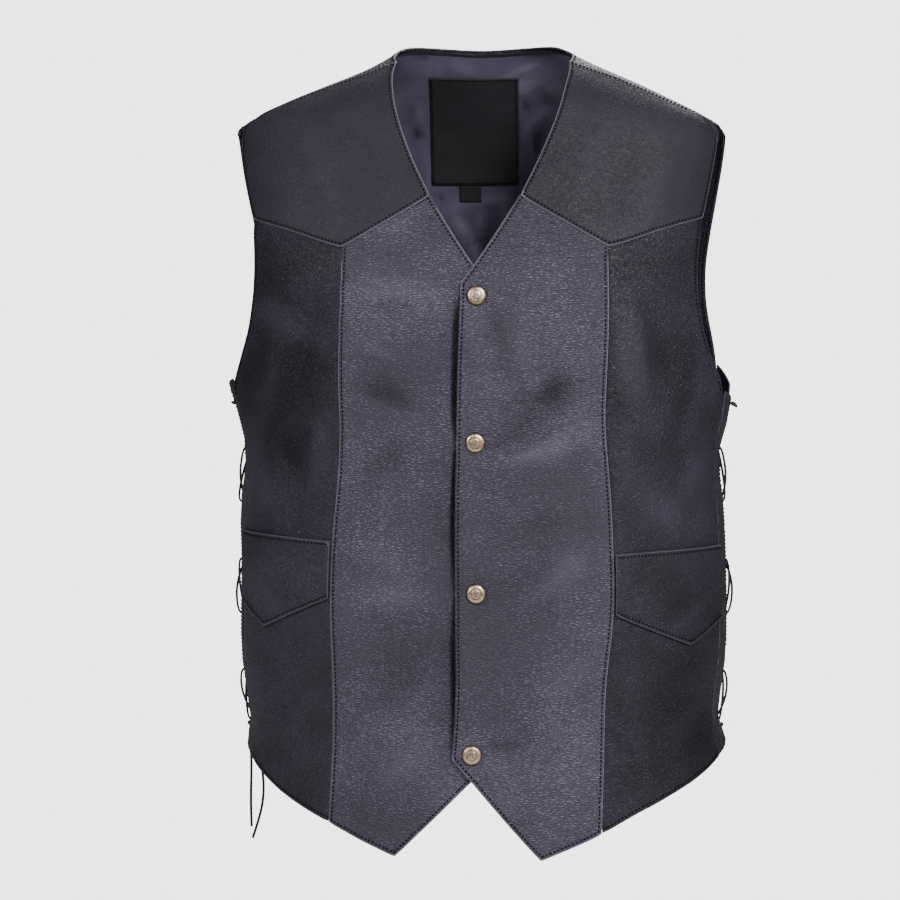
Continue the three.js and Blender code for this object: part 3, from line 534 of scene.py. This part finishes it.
def leather(name, dark, light, edge_colour, edge_share, pebble, depth, grain_share, roughness):
    """Cowhide: pebbles, short creases across them, uneven tone, worn edges with a painted highlight, a sewn
    groove, and painted light and shade on folds.
    """
    material, tree, shader = new_material(name, roughness)
    drift = wired(tree, "ShaderNodeTexNoise", Vector=stretched(tree, (150, 150, 150)), Scale=1.0, Detail=2.0)
    shift = tree.nodes.new("ShaderNodeVectorMath")
    shift.operation = "MULTIPLY_ADD"
    tree.links.new(drift.outputs["Color"], shift.inputs[0])
    shift.inputs[1].default_value = (1.3, 1.3, 1.3)
    tree.links.new(stretched(tree, (pebble * 0.45, pebble * 0.45, pebble * 1.5)), shift.inputs[2])
    cells = wired(tree, "ShaderNodeTexVoronoi", Vector=shift.outputs["Vector"], Scale=1.0)
    cells.feature = "DISTANCE_TO_EDGE"
    domes = ranged(tree, cells.outputs["Distance"], 0.0, 0.32)
    short = wired(tree, "ShaderNodeTexNoise", Vector=stretched(tree, (230, 230, 720)), Scale=1.0, Detail=3.0,
                  Roughness=0.55, Distortion=0.8)
    strong = wired(tree, "ShaderNodeTexNoise", Vector=stretched(tree, (11, 11, 14)), Scale=1.0, Detail=2.0)
    depth_share = ranged(tree, strong.outputs["Fac"], 0.34, 0.66, 0.5, 1.0)
    grain = maths(tree, "MULTIPLY", maths(tree, "ADD", domes, short.outputs["Fac"]), depth_share)
    sewn_at = tree.nodes.new("ShaderNodeAttribute")
    sewn_at.attribute_name = "seam"
    off_seam = maths(tree, "ABSOLUTE", maths(tree, "SUBTRACT", sewn_at.outputs["Fac"], STITCH_INSET))
    groove = ranged(tree, off_seam, 0.0, 0.0019)
    height = maths(tree, "MULTIPLY_ADD", groove, 0.3, grain)
    bumped(tree, shader, height, depth=depth)
    tone = wired(tree, "ShaderNodeTexNoise", Vector=stretched(tree, (7, 7, 7)), Scale=1.0, Detail=4.0,
                 Roughness=0.6)
    hide = mixed(tree, ranged(tree, tone.outputs["Fac"], 0.3, 0.7), dark, light)
    creased = mixed(tree, ranged(tree, grain, 0.35, 1.15, grain_share, 0.0), hide,
                    tuple(0.3 * c for c in dark))
    # Near the rim the colour goes toward edge_colour: on the front, side and yoke hides a pale edge that is
    # partly wear and partly a painted highlight; on the back a darker edge.
    edge_at = tree.nodes.new("ShaderNodeAttribute")
    edge_at.attribute_name = "edge"
    edge_wear_and_painted_highlight = ranged(tree, edge_at.outputs["Fac"], 0.0002, 0.0009, edge_share, 0.0)
    # Painted light and shade from the relief attribute: fold ridges are painted lighter as a highlight, fold
    # troughs painted darker as shade.
    relief_at = tree.nodes.new("ShaderNodeAttribute")
    relief_at.attribute_name = "relief"
    rub_wear_and_painted_highlight = ranged(tree, relief_at.outputs["Fac"], 0.0, 2.6, 0.0, 0.4)
    painted_fold_shade = ranged(tree, relief_at.outputs["Fac"], -4.5, 0.0, 0.97, 0.0)
    with_painted_ridge_highlight = mixed(tree, rub_wear_and_painted_highlight, creased, tuple(1.3 * c for c in light))
    with_painted_fold_shade = mixed(tree, painted_fold_shade, with_painted_ridge_highlight, tuple(0.08 * c for c in dark))
    tree.links.new(mixed(tree, edge_wear_and_painted_highlight, with_painted_fold_shade, edge_colour), shader.inputs["Base Color"])
    tree.links.new(ranged(tree, short.outputs["Fac"], 0.3, 0.7, roughness - 0.07, roughness + 0.1),
                   shader.inputs["Roughness"])
    shader.inputs["Specular IOR Level"].default_value = 0.34
    return material


front_hide = leather("front cowhide", dark=(0.086, 0.075, 0.111), light=(0.157, 0.136, 0.195),
                     edge_colour=(0.33, 0.31, 0.38), edge_share=0.5, pebble=450, depth=0.0008,
                     grain_share=0.8, roughness=0.52)
side_hide = leather("side cowhide", dark=(0.008, 0.0070, 0.012), light=(0.048, 0.042, 0.066),
                    edge_colour=(0.12, 0.11, 0.145), edge_share=0.5, pebble=520, depth=0.0005,
                    grain_share=0.6, roughness=0.45)
yoke_hide = leather("yoke cowhide", dark=(0.017, 0.0150, 0.023), light=(0.034, 0.030, 0.045),
                    edge_colour=(0.20, 0.185, 0.23), edge_share=0.65, pebble=600, depth=0.0002,
                    grain_share=0.25, roughness=0.56)
back_hide = leather("back cowhide", dark=(0.045, 0.040, 0.060), light=(0.100, 0.088, 0.126),
                    edge_colour=(0.02, 0.019, 0.026), edge_share=0.8, pebble=430, depth=0.0007,
                    grain_share=0.8, roughness=0.52)

flesh_side, tree, shader = new_material("flesh side", roughness=0.92)
nap = wired(tree, "ShaderNodeTexNoise", Vector=stretched(tree, (700, 700, 700)), Scale=1.0, Detail=5.0)
tree.links.new(mixed(tree, nap.outputs["Fac"], (0.016, 0.016, 0.02), (0.045, 0.043, 0.05)),
               shader.inputs["Base Color"])
bumped(tree, shader, nap.outputs["Fac"], depth=0.0004)

# At the seams the lower panel is drawn in under the upper one, and between the snaps the lapped
# edge stands a little off the front below it. Edges are told apart by place and facing.
SQUARE_ON = 0.75
SEAM_TUCK = 0.0016
YOKE_TUCK = 0.0036
SEAM_SINK = 0.0014
SEAM_REACH = 0.008
YOKE_REACH = 0.014
FRONT_SEAM_NEAREST = 0.16
YOKE_EDGE_LOWEST = -0.27
SHOULDER_TUCK = 0.0030
SHOULDER_LOWEST = -0.075
NECK_HALF_WIDTH = 0.072
LAP_AT = -0.012
LAP_GAPE = 0.0038
LAP_REACH = 0.016
LAP_HALF_WIDTH = 0.035
LAP_FACING = 0.93
SNAP_PULL = 0.7
UNDERLAP_DIP = 0.0026
UNDERLAP_DIP_AT = -0.0155
UNDERLAP_DIP_REACH = 0.0048
# A painted shadow on the underlapping front beside the lapped edge, and painted light and shade on folds and
# creases.
UNDERLAP_SHADE = 9.0
UNDERLAP_SHADE_SHIFT = 0.002
FOLD_SHADE = 0.45
CREASE_SHADE = 0.7
ARMHOLE_LOWEST = -0.3
HEM_FACING = 0.5
WELT_FACING = 0.6


def upward(place):
    """The way out of the shoulders."""
    return Vector((0, 0, 1))


def drawn_under(shape, marks, tuck, reach, away=outward):
    """Draws the edge at the marks in under its neighbour, as the seam is sewn."""
    if not marks:
        return
    tree = KDTree(len(marks))
    for i, (place, _) in enumerate(marks):
        tree.insert(place, i)
    tree.balance()
    for vert in shape.verts:
        _, i, gap = tree.find(vert.co)
        share = max(0.0, 1 - gap / reach) ** 2
        vert.co -= share * (marks[i][1] * tuck + away(vert.co) * SEAM_SINK)


def edge_marks(shape):
    """The middle of each edge along the rim, and the way from it into the panel."""
    return [((a + b) / 2, inward) for row in rim_rows(shape) for a, b, _, inward in row]


def under_shoulder(shape):
    """Tucks the back's shoulder edges under the yokes."""
    seams = [
        (place, inward) for place, inward in edge_marks(shape)
        if place.z > SHOULDER_LOWEST and abs(place.x) > NECK_HALF_WIDTH
        and abs(inward.x) < SQUARE_ON and inward.y > 0
    ]
    drawn_under(shape, seams, SHOULDER_TUCK, YOKE_REACH, upward)


def under_yoke(shape):
    """Tucks the top edge of a front under the yoke's folded edge."""
    edges = edge_marks(shape)
    tops = [mark for mark in edges if mark[1].z < -SQUARE_ON and mark[0].z > YOKE_EDGE_LOWEST]
    drawn_under(shape, tops, YOKE_TUCK, YOKE_REACH)
    return edges


def under_yoke_and_centre(shape):
    """Tucks a side front under the yoke and its long seam edge under the centre front."""
    edges = under_yoke(shape)
    seam = [
        (place, inward) for place, inward in edges
        if abs(place.x) < FRONT_SEAM_NEAREST and inward.x * place.x > 0 and abs(inward.x) > SQUARE_ON
    ]
    drawn_under(shape, seam, SEAM_TUCK, SEAM_REACH)


def between_snaps(height):
    """0 at each snap and above or below them all, and 1 midway between two."""
    heights = sorted(place.z for place in snap_places)
    if not heights[0] < height < heights[-1]:
        return 0.0
    above = min(z for z in heights if z >= height)
    below = max(z for z in heights if z <= height)
    return math.sin(math.pi * (height - below) / max(above - below, MERGE_DISTANCE)) ** SNAP_PULL


def overlapping(shape):
    """Tucks in the top, and lifts the lapped edge a little off the front below it."""
    under_yoke(shape)
    for vert in shape.verts:
        near_edge = math.exp(-(((vert.co.x - LAP_AT) / LAP_REACH) ** 2))
        vert.co.y -= LAP_GAPE * near_edge * between_snaps(vert.co.z)


def underlapping(shape):
    """Tucks in the top, and sinks a long dip where the lapped edge lies over this front."""
    under_yoke(shape)
    for vert in shape.verts:
        near_dip = math.exp(-(((vert.co.x - UNDERLAP_DIP_AT) / UNDERLAP_DIP_REACH) ** 2))
        vert.co.y += UNDERLAP_DIP * near_dip * between_snaps(vert.co.z)


def shell(node, outside, inside, slot, keep, thickest=THICKEST_HIDE, remesh=None, reshape=None):
    """A sewn wall of leather or cloth on its CAD solid's form."""
    shape = joined_copy(node)
    sort_faces(shape, thickest)
    if remesh is None:
        squared_off(shape, cmp_materials=True)
        crease = shape.edges.layers.float.new("crease_edge")
        for edge in shape.edges:
            sides = {face.material_index for face in edge.link_faces}
            if len(sides) == 2 or (sides == {RIM} and edge.calc_face_angle(0) > CORNER):
                edge[crease] = EDGE_SHARPNESS
    piece = object_from(shape, f"{node}_panel", outside, inside, outside)
    if remesh is None:
        settle(piece, "SUBSURF", levels=PANEL_LEVELS)
    else:
        settle(piece, "REMESH", levels=0, mode="VOXEL", voxel_size=remesh, use_smooth_shade=True)
        settle(piece, "SMOOTH", levels=0, factor=0.5, iterations=4)
    mesh = piece.data
    points = np.empty(len(mesh.vertices) * 3)
    mesh.vertices.foreach_get("co", points)
    points = worn(points.reshape(-1, 3))
    mesh.vertices.foreach_set("co", points.ravel())
    mesh.update()
    shape = bmesh.new()
    shape.from_mesh(mesh)
    if reshape:
        reshape(shape)
        shape.to_mesh(mesh)
    if remesh is not None:
        sort_faces(shape, thickest)
        shape.to_mesh(mesh)
        for material in (outside, inside, outside)[len(mesh.materials):]:
            mesh.materials.append(material)
        mesh.update()
    shape.verts.index_update()
    rows = rim_rows(shape)
    sewn_edges = sewn(f"{node}_stitches", shape, rows, keep)
    shape.free()
    rim_edges = [(a, b) for row in rows for a, b, _, _ in row]
    # The relief attribute carries painted light and shade: lighter on the ridges of folds and creases,
    # darker in their troughs.
    painted_light_and_shade = relief(points, FOLD_LIGHT_AND_SHADE) * FOLD_SHADE + relief(points, CREASES) * CREASE_GAIN * CREASE_SHADE
    # A painted shadow darkens a band of the underlapping front beside the lapped edge, between the snaps.
    if reshape is underlapping:
        heights = np.array([between_snaps(z) for z in points[:, 2]])
        off_dip = (points[:, 0] - UNDERLAP_DIP_AT - UNDERLAP_SHADE_SHIFT) / UNDERLAP_DIP_REACH
        painted_light_and_shade -= UNDERLAP_SHADE * np.exp(-(off_dip**4)) * heights
    marks = (
        ("edge", distances(points, rim_edges)), ("seam", distances(points, sewn_edges)),
        ("relief", painted_light_and_shade),
    )
    for name, values in marks:
        mesh.attributes.new(name, "FLOAT", "POINT").data.foreach_set("value", values)
    seated(piece, slot, node)
    return piece


def everywhere(place, inward):
    """Stitches along every edge."""
    return True


def never(place, inward):
    """No stitches."""
    return False


def below_yoke(place, inward):
    """All of a centre front's edges but the one under the yoke."""
    return not (inward.z < -SQUARE_ON and place.z > YOKE_EDGE_LOWEST)


def below_yoke_and_lap(place, inward):
    """A centre front that lies under the other also has no row along its covered edge."""
    covered = abs(place.x) < LAP_HALF_WIDTH and inward.x < -LAP_FACING
    return below_yoke(place, inward) and not covered


def hem_and_armhole(place, inward):
    """A side front's edges but for those in its two seams."""
    at_armhole = abs(place.x) > SIDE_NEAREST and place.z > ARMHOLE_LOWEST and inward.x * place.x < 0
    return inward.z > HEM_FACING or (at_armhole and inward.z > -SQUARE_ON)


def welt_edges(place, inward):
    """A welt's top and its pointed foot, but not its ends."""
    return abs(inward.z) > WELT_FACING


for side in SIDES:
    yoke = shell(f"yoke_{side}", yoke_hide, flesh_side, "side_leather", everywhere)
    keep = below_yoke if side == "left" else below_yoke_and_lap
    centre = shell(f"front_centre_{side}", front_hide, flesh_side, "front_leather", keep,
                   reshape=overlapping if side == "left" else underlapping)
    front = shell(f"front_side_{side}", side_hide, flesh_side, "side_leather", hem_and_armhole,
                  reshape=under_yoke_and_centre)
    welt = shell(f"pocket_welt_{side}", side_hide, side_hide, "side_leather", welt_edges)
    for face in ("front", "back"):
        strip = shell(f"lace_strip_{face}_{side}", side_hide, side_hide, "side_leather", everywhere,
                      remesh=STRIP_VOXEL)

back = shell("back", back_hide, flesh_side, "front_leather", everywhere, reshape=under_shoulder)

# Back lining. Dark satin sewn inside the back at the neck, armholes and hem, cut a little loose
# so that it puckers below the neck edge and hangs in soft slanting folds round the label.
# Its folds are painted lighter on their crests and darker in their hollows, as painted light and shade.
THICKEST_LINING = 0.0022
NECK_FACING = 0.0028
FACING_BLEND = 0.0006
SATIN_FOLD_GAIN = 1.8
PUCKER_TAPER = 0.5
PUCKER_INWARD = 2.0
PUCKER_OUTWARD = 0.15
LABEL_CLEARANCE = 1
LABEL_EASE = 5
LINING_FOLDS = [
    (-68, -6, -72, -16, 1.2, 3.0), (-61, -5, -63, -17, 1.2, 2.8), (-54, -5, -55, -16, 1.1, 2.8),
    (-47, -6, -49, -18, 1.2, 3.0), (-40, -7, -41, -16, 0.9, 2.8), (58, -4, 16, -20, 2.0, 5),
    (64, -12, 30, -30, 1.8, 5), (70, -22, 44, -34, 1.4, 4), (66, -36, 42, -58, 1.6, 5),
    (60, -50, 44, -76, -1.2, 5), (40, -60, 46, -100, 1.4, 4), (52, -66, 38, -96, -1.0, 5),
    (-64, -30, -56, -66, 1.4, 5), (-56, -56, -66, -76, -1.2, 5), (-58, -74, -52, -112, 1.6, 4),
    (-66, -84, -60, -116, -1.0, 5), (-36, -128, 20, -120, 1.2, 5), (-30, -140, -6, -176, 1.8, 6),
    (8, -136, -4, -180, -1.4, 6), (20, -140, 8, -190, 1.6, 6), (-14, -170, 4, -210, 1.8, 6),
    (-120, -150, -70, -230, 2.4, 9), (120, -150, 76, -236, 2.4, 9), (-60, -260, -40, -420, 2.4, 10),
    (70, -270, 52, -430, 2.4, 10), (-130, -300, -110, -500, -2.0, 11), (134, -300, 118, -520, -2.0, 11),
    (0, -300, 6, -560, 2.0, 12), (-90, -470, -84, -600, 1.8, 10), (90, -480, 82, -600, 1.8, 10),
]
# Painted shade in the satin's hollows and painted highlights on its crests, too shallow to shape, in the
# same form.
LINING_SHADES = [
    ("back", -16, -150, -6, -166, -4.0, 6), ("back", -42, -119, -35, -120, -3.4, 5),
    ("back", -63, -60, -54, -66, -3.0, 5), ("back", -56, -78, -54, -104, -3.0, 4),
    ("back", 36, -34, 41, -44, -3.4, 5), ("back", 48, -26, 66, -40, -2.8, 5),
    ("back", 34, 8, 70, 2, -4.0, 7), ("back", 60, -10, 30, -22, 2.2, 5),
    ("back", -64, 2, -46, 0, -2.6, 5), ("back", -30, -4, -6, -8, 1.8, 7),
    ("back", -66, -20, -64, -54, -2.0, 5), ("back", 44, -56, 50, -110, -2.0, 6),
    ("back", -2, -132, -6, -150, 2.0, 5), ("back", 20, -120, 14, -146, 1.8, 7),
]
LABEL_NODES = ["neck_label", "size_tab"]

satin, tree, shader = new_material("satin lining", roughness=0.36)
shader.inputs["Sheen Weight"].default_value = 0.25
shader.inputs["Sheen Tint"].default_value = (0.35, 0.32, 0.5, 1)
cloudy = wired(tree, "ShaderNodeTexNoise", Vector=stretched(tree, (16, 16, 9)), Scale=1.0, Detail=3.0)
plain = mixed(tree, ranged(tree, cloudy.outputs["Fac"], 0.3, 0.7), (0.066, 0.059, 0.096),
              (0.102, 0.091, 0.143))
# Painted light and shade on the satin: fold crests painted lighter as a highlight, hollows painted darker as
# shade, read from the relief attribute.
fold_at = tree.nodes.new("ShaderNodeAttribute")
fold_at.attribute_name = "relief"
lit = mixed(tree, ranged(tree, fold_at.outputs["Fac"], 0.0, 2.5, 0.0, 0.6), plain, (0.16, 0.143, 0.21))
with_painted_hollow_shade = mixed(tree, ranged(tree, fold_at.outputs["Fac"], -4.5, 0.0, 0.9, 0.0), lit, (0.012, 0.011, 0.018))
facing_at = tree.nodes.new("ShaderNodeAttribute")
facing_at.attribute_name = "edge"
facing = ranged(tree, facing_at.outputs["Fac"], NECK_FACING, NECK_FACING + FACING_BLEND, 1.0, 0.0)
tree.links.new(mixed(tree, facing, with_painted_hollow_shade, (0.010, 0.010, 0.013)), shader.inputs["Base Color"])
yarns = wired(tree, "ShaderNodeTexNoise", Vector=stretched(tree, (2400, 900, 260)), Scale=1.0, Detail=2.0)
bumped(tree, shader, yarns.outputs["Fac"], depth=0.00008)

lining = shell("lining_back", satin, satin, "lining", never, thickest=THICKEST_LINING)
label_boxes = [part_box(node) for node in LABEL_NODES]
points = np.array([vert.co[:] for vert in lining.data.vertices])
# The lining's relief attribute holds painted light and shade for its folds and for the shallow hollows and
# crests.
fold_rows = [("back", *row[:4], SATIN_FOLD_GAIN * row[4], row[5]) for row in LINING_FOLDS] + LINING_SHADES
lining.data.attributes["relief"].data.foreach_set("value", relief(points, fold_rows))
for vert in lining.data.vertices:
    x, z = vert.co.x * 1000, vert.co.z * 1000
    lift = 0.0
    for x0, z0, x1, z1, height, width in LINING_FOLDS:
        run = Vector((x1 - x0, z1 - z0))
        along = max(0.0, min(1.0, Vector((x - x0, z - z0)).dot(run) / run.length_squared))
        off = (Vector((x - x0, z - z0)) - run * along).length
        lift += height * (1 - PUCKER_TAPER * (2 * along - 1) ** 2) * math.exp(-((off / width) ** 2))
    for low, high in label_boxes:
        outside_box = max(low.x * 1000 - x, x - high.x * 1000, low.z * 1000 - z, z - high.z * 1000)
        lift *= min(1.0, max(0.0, (outside_box - LABEL_CLEARANCE) / LABEL_EASE))
    lift *= PUCKER_INWARD if lift > 0 else PUCKER_OUTWARD
    vert.co -= outward(vert.co) * lift * 0.001

# Neck label and size tab. Black woven cloth with its edges folded under, sewn to the lining with
# fine black stitches. Both are left plain.
LABEL_THICKNESS = 0.0008
LABEL_EDGE = 0.0002
LABEL_STITCH_INSET = 0.0018
LABEL_GRIDS = {"neck_label": (40, 48), "size_tab": (16, 14)}
SEEN_FROM = 0.05
FRONT_FACING = 0.5

woven, tree, shader = new_material("woven label", roughness=0.75)
parts = wired(tree, "ShaderNodeSeparateXYZ", Vector=stretched(tree, (9000, 9000, 7000)))
weft = maths(tree, "SINE", parts.outputs["Z"])
warp = maths(tree, "SINE", parts.outputs["X"])
weave = ranged(tree, maths(tree, "MULTIPLY", weft, warp), -1.0, 1.0)
tree.links.new(mixed(tree, weave, (0.005, 0.005, 0.007), (0.013, 0.013, 0.016)),
               shader.inputs["Base Color"])
bumped(tree, shader, weave, depth=0.00008)

for node, (columns, rows) in LABEL_GRIDS.items():
    low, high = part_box(node)
    form = joined_copy(node)
    tree = BVHTree.FromBMesh(form)
    form.free()
    shape = bmesh.new()
    bmesh.ops.create_grid(shape, x_segments=columns, y_segments=rows, size=0.5)
    for vert in shape.verts:
        share = vert.co.xy + Vector((0.5, 0.5))
        x = low.x + LABEL_EDGE + (high.x - low.x - 2 * LABEL_EDGE) * share.x
        z = low.z + LABEL_EDGE + (high.z - low.z - 2 * LABEL_EDGE) * share.y
        start = Vector((x, low.y - SEEN_FROM, z))
        spot = tree.ray_cast(start, Vector((0, 1, 0)))[0] or tree.find_nearest(start)[0]
        vert.co = (x, spot.y, z)
    points = worn(np.array([vert.co[:] for vert in shape.verts]))
    for vert, point in zip(shape.verts, points):
        vert.co = point
    patch = object_from(shape, f"{node}_cloth", woven)
    settle(patch, "SOLIDIFY", levels=0, thickness=LABEL_THICKNESS, offset=-1)
    shape = bmesh.new()
    shape.from_mesh(patch.data)
    for face in shape.faces:
        face.material_index = OUTSIDE if face.normal.y < -FRONT_FACING else RIM
    sewn(f"{node}_stitches", shape, rim_rows(shape), everywhere, inset=LABEL_STITCH_INSET)
    shape.free()
    seated(patch, "label", node)
    width, height = high.x - low.x, high.z - low.z

# Snaps. Each has a pressed brass cap with a rolled rim and one plain ring, a post through both
# fronts and a riveted foot inside. The brass is darkened in its grooves and rubbed bright on top.
SNAP_TOP = 5.1
SNAP_PROFILE = [
    (0, 4.95), (1.4, 4.92), (2.6, 4.84), (3.5, 4.7), (3.9, 4.42), (4.3, 4.38), (4.7, 4.52), (5.8, 4.3),
    (6.8, 3.95), (7.5, 3.55), (8.1, 3.0), (8.45, 2.5), (8.6, 2.0), (8.5, 1.65), (8.1, 1.5), (2.2, 1.5),
    (2.2, -6.2), (5.9, -6.2), (6.0, -6.5), (5.5, -7.4), (0, -7.6),
]
SNAP_STEPS = 48
CAP_FOOT = 1.5
CAP_CROWN = 5.0
CAP_CURVE = 0.021
CAP_SHINE = 0.45
FOOT_SHINE = 0.1

brass, tree, shader = new_material("antique brass", roughness=0.34, metallic=1.0)
relief_at = tree.nodes.new("ShaderNodeAttribute")
relief_at.attribute_name = "relief"
patina = wired(tree, "ShaderNodeTexNoise", Vector=stretched(tree, (800, 800, 800)), Scale=1.0, Detail=4.0)
rub_wear_and_painted_highlight = maths(tree, "ADD", relief_at.outputs["Fac"], maths(tree, "MULTIPLY", patina.outputs["Fac"], 0.5))
tree.links.new(mixed(tree, ranged(tree, rub_wear_and_painted_highlight, 0.2, 0.95), (0.22, 0.145, 0.085), (0.86, 0.68, 0.49)),
               shader.inputs["Base Color"])
tree.links.new(ranged(tree, patina.outputs["Fac"], 0.3, 0.7, 0.25, 0.5), shader.inputs["Roughness"])
bumped(tree, shader, patina.outputs["Fac"], depth=0.0001)

for node in SNAP_NODES:
    points = np.array([vert.co[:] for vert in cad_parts[node].data.vertices])
    centre = points.mean(0)
    values, axes = np.linalg.eigh(np.cov((points - centre).T))
    apart = [abs(values[i] - values[i - 1]) + abs(values[i] - values[i - 2]) for i in range(3)]
    odd = int(np.argmax(apart))
    axis = Vector(axes[:, odd])
    if axis.y > 0:
        axis = -axis
    top = max(axis.dot(Vector(point)) for point in points)
    middle = Vector(centre)
    base = middle + axis * (top - axis.dot(middle) - SNAP_TOP / 1000)
    shape = bmesh.new()
    verts = [shape.verts.new((radius / 1000, 0, height / 1000)) for radius, height in SNAP_PROFILE]
    edges = [shape.edges.new(pair) for pair in zip(verts, verts[1:])]
    bmesh.ops.spin(shape, geom=verts + edges, cent=(0, 0, 0), axis=(0, 0, 1), dvec=(0, 0, 0),
                   angle=math.tau, steps=SNAP_STEPS, use_merge=True, use_duplicate=False)
    bmesh.ops.remove_doubles(shape, verts=shape.verts, dist=1e-6)
    bmesh.ops.recalc_face_normals(shape, faces=shape.faces)
    shine = []
    for vert in shape.verts:
        radius, height = vert.co.xy.length * 1000, vert.co.z * 1000
        above_dome = height - (CAP_CROWN - CAP_CURVE * radius**2)
        shine.append(above_dome + CAP_SHINE if height > CAP_FOOT else FOOT_SHINE)
    bmesh.ops.transform(shape, verts=shape.verts, matrix=Matrix.Translation(base)
                        @ axis.to_track_quat("Z", "Y").to_matrix().to_4x4())
    snap = object_from(shape, f"{node}_brass", brass)
    attribute = snap.data.attributes.new("relief", "FLOAT", "POINT")
    attribute.data.foreach_set("value", shine)
    settle(snap, "SUBSURF", levels=1)
    seated(snap, "snap_metal", node)

# Light and floor. Soft boxes stand in front at both sides and one behind, over a pale floor.
FLOOR_HEIGHT = -0.95
FLOOR_SIZE = 1.1
LIGHT_AIM = Vector((0, 0, -0.35))
ROOM_GLOW = (0.18, 0.18, 0.19)
BACKDROP = (3.5, 3.5, 3.5)
LIGHTS = [
    ("key", (1.1, -2.2, 1.2), 0.8, 70), ("left", (-1.8, -1.8, 0.8), 0.9, 30),
    ("right", (2.4, -1.1, 0.3), 0.9, 10), ("behind", (0.3, 1.9, 1.3), 1.4, 40),
]
for name, place, size, power in LIGHTS:
    light = bpy.data.lights.new(name, "AREA")
    light.size = size
    light.energy = power
    lamp = bpy.data.objects.new(name, light)
    lamp.location = place
    lamp.rotation_euler = (LIGHT_AIM - Vector(place)).to_track_quat("-Z", "Y").to_euler()
    scene.collection.objects.link(lamp)

world = bpy.data.worlds.new("studio")
scene.world = world
world.use_nodes = True
tree = world.node_tree
seen = tree.nodes.new("ShaderNodeLightPath").outputs["Is Camera Ray"]
tree.links.new(mixed(tree, seen, ROOM_GLOW, BACKDROP), tree.nodes["Background"].inputs["Color"])

floor_finish, tree, shader = new_material("pale floor", roughness=0.9)
mottle = wired(tree, "ShaderNodeTexNoise", Vector=stretched(tree, (3, 3, 3)), Scale=1.0)
tree.links.new(mixed(tree, mottle.outputs["Fac"], (0.78, 0.78, 0.78), (0.82, 0.82, 0.82)),
               shader.inputs["Base Color"])
shape = bmesh.new()
bmesh.ops.create_grid(shape, x_segments=2, y_segments=2, size=FLOOR_SIZE,
                      matrix=Matrix.Translation((0, 0, FLOOR_HEIGHT)))
object_from(shape, "floor", floor_finish)
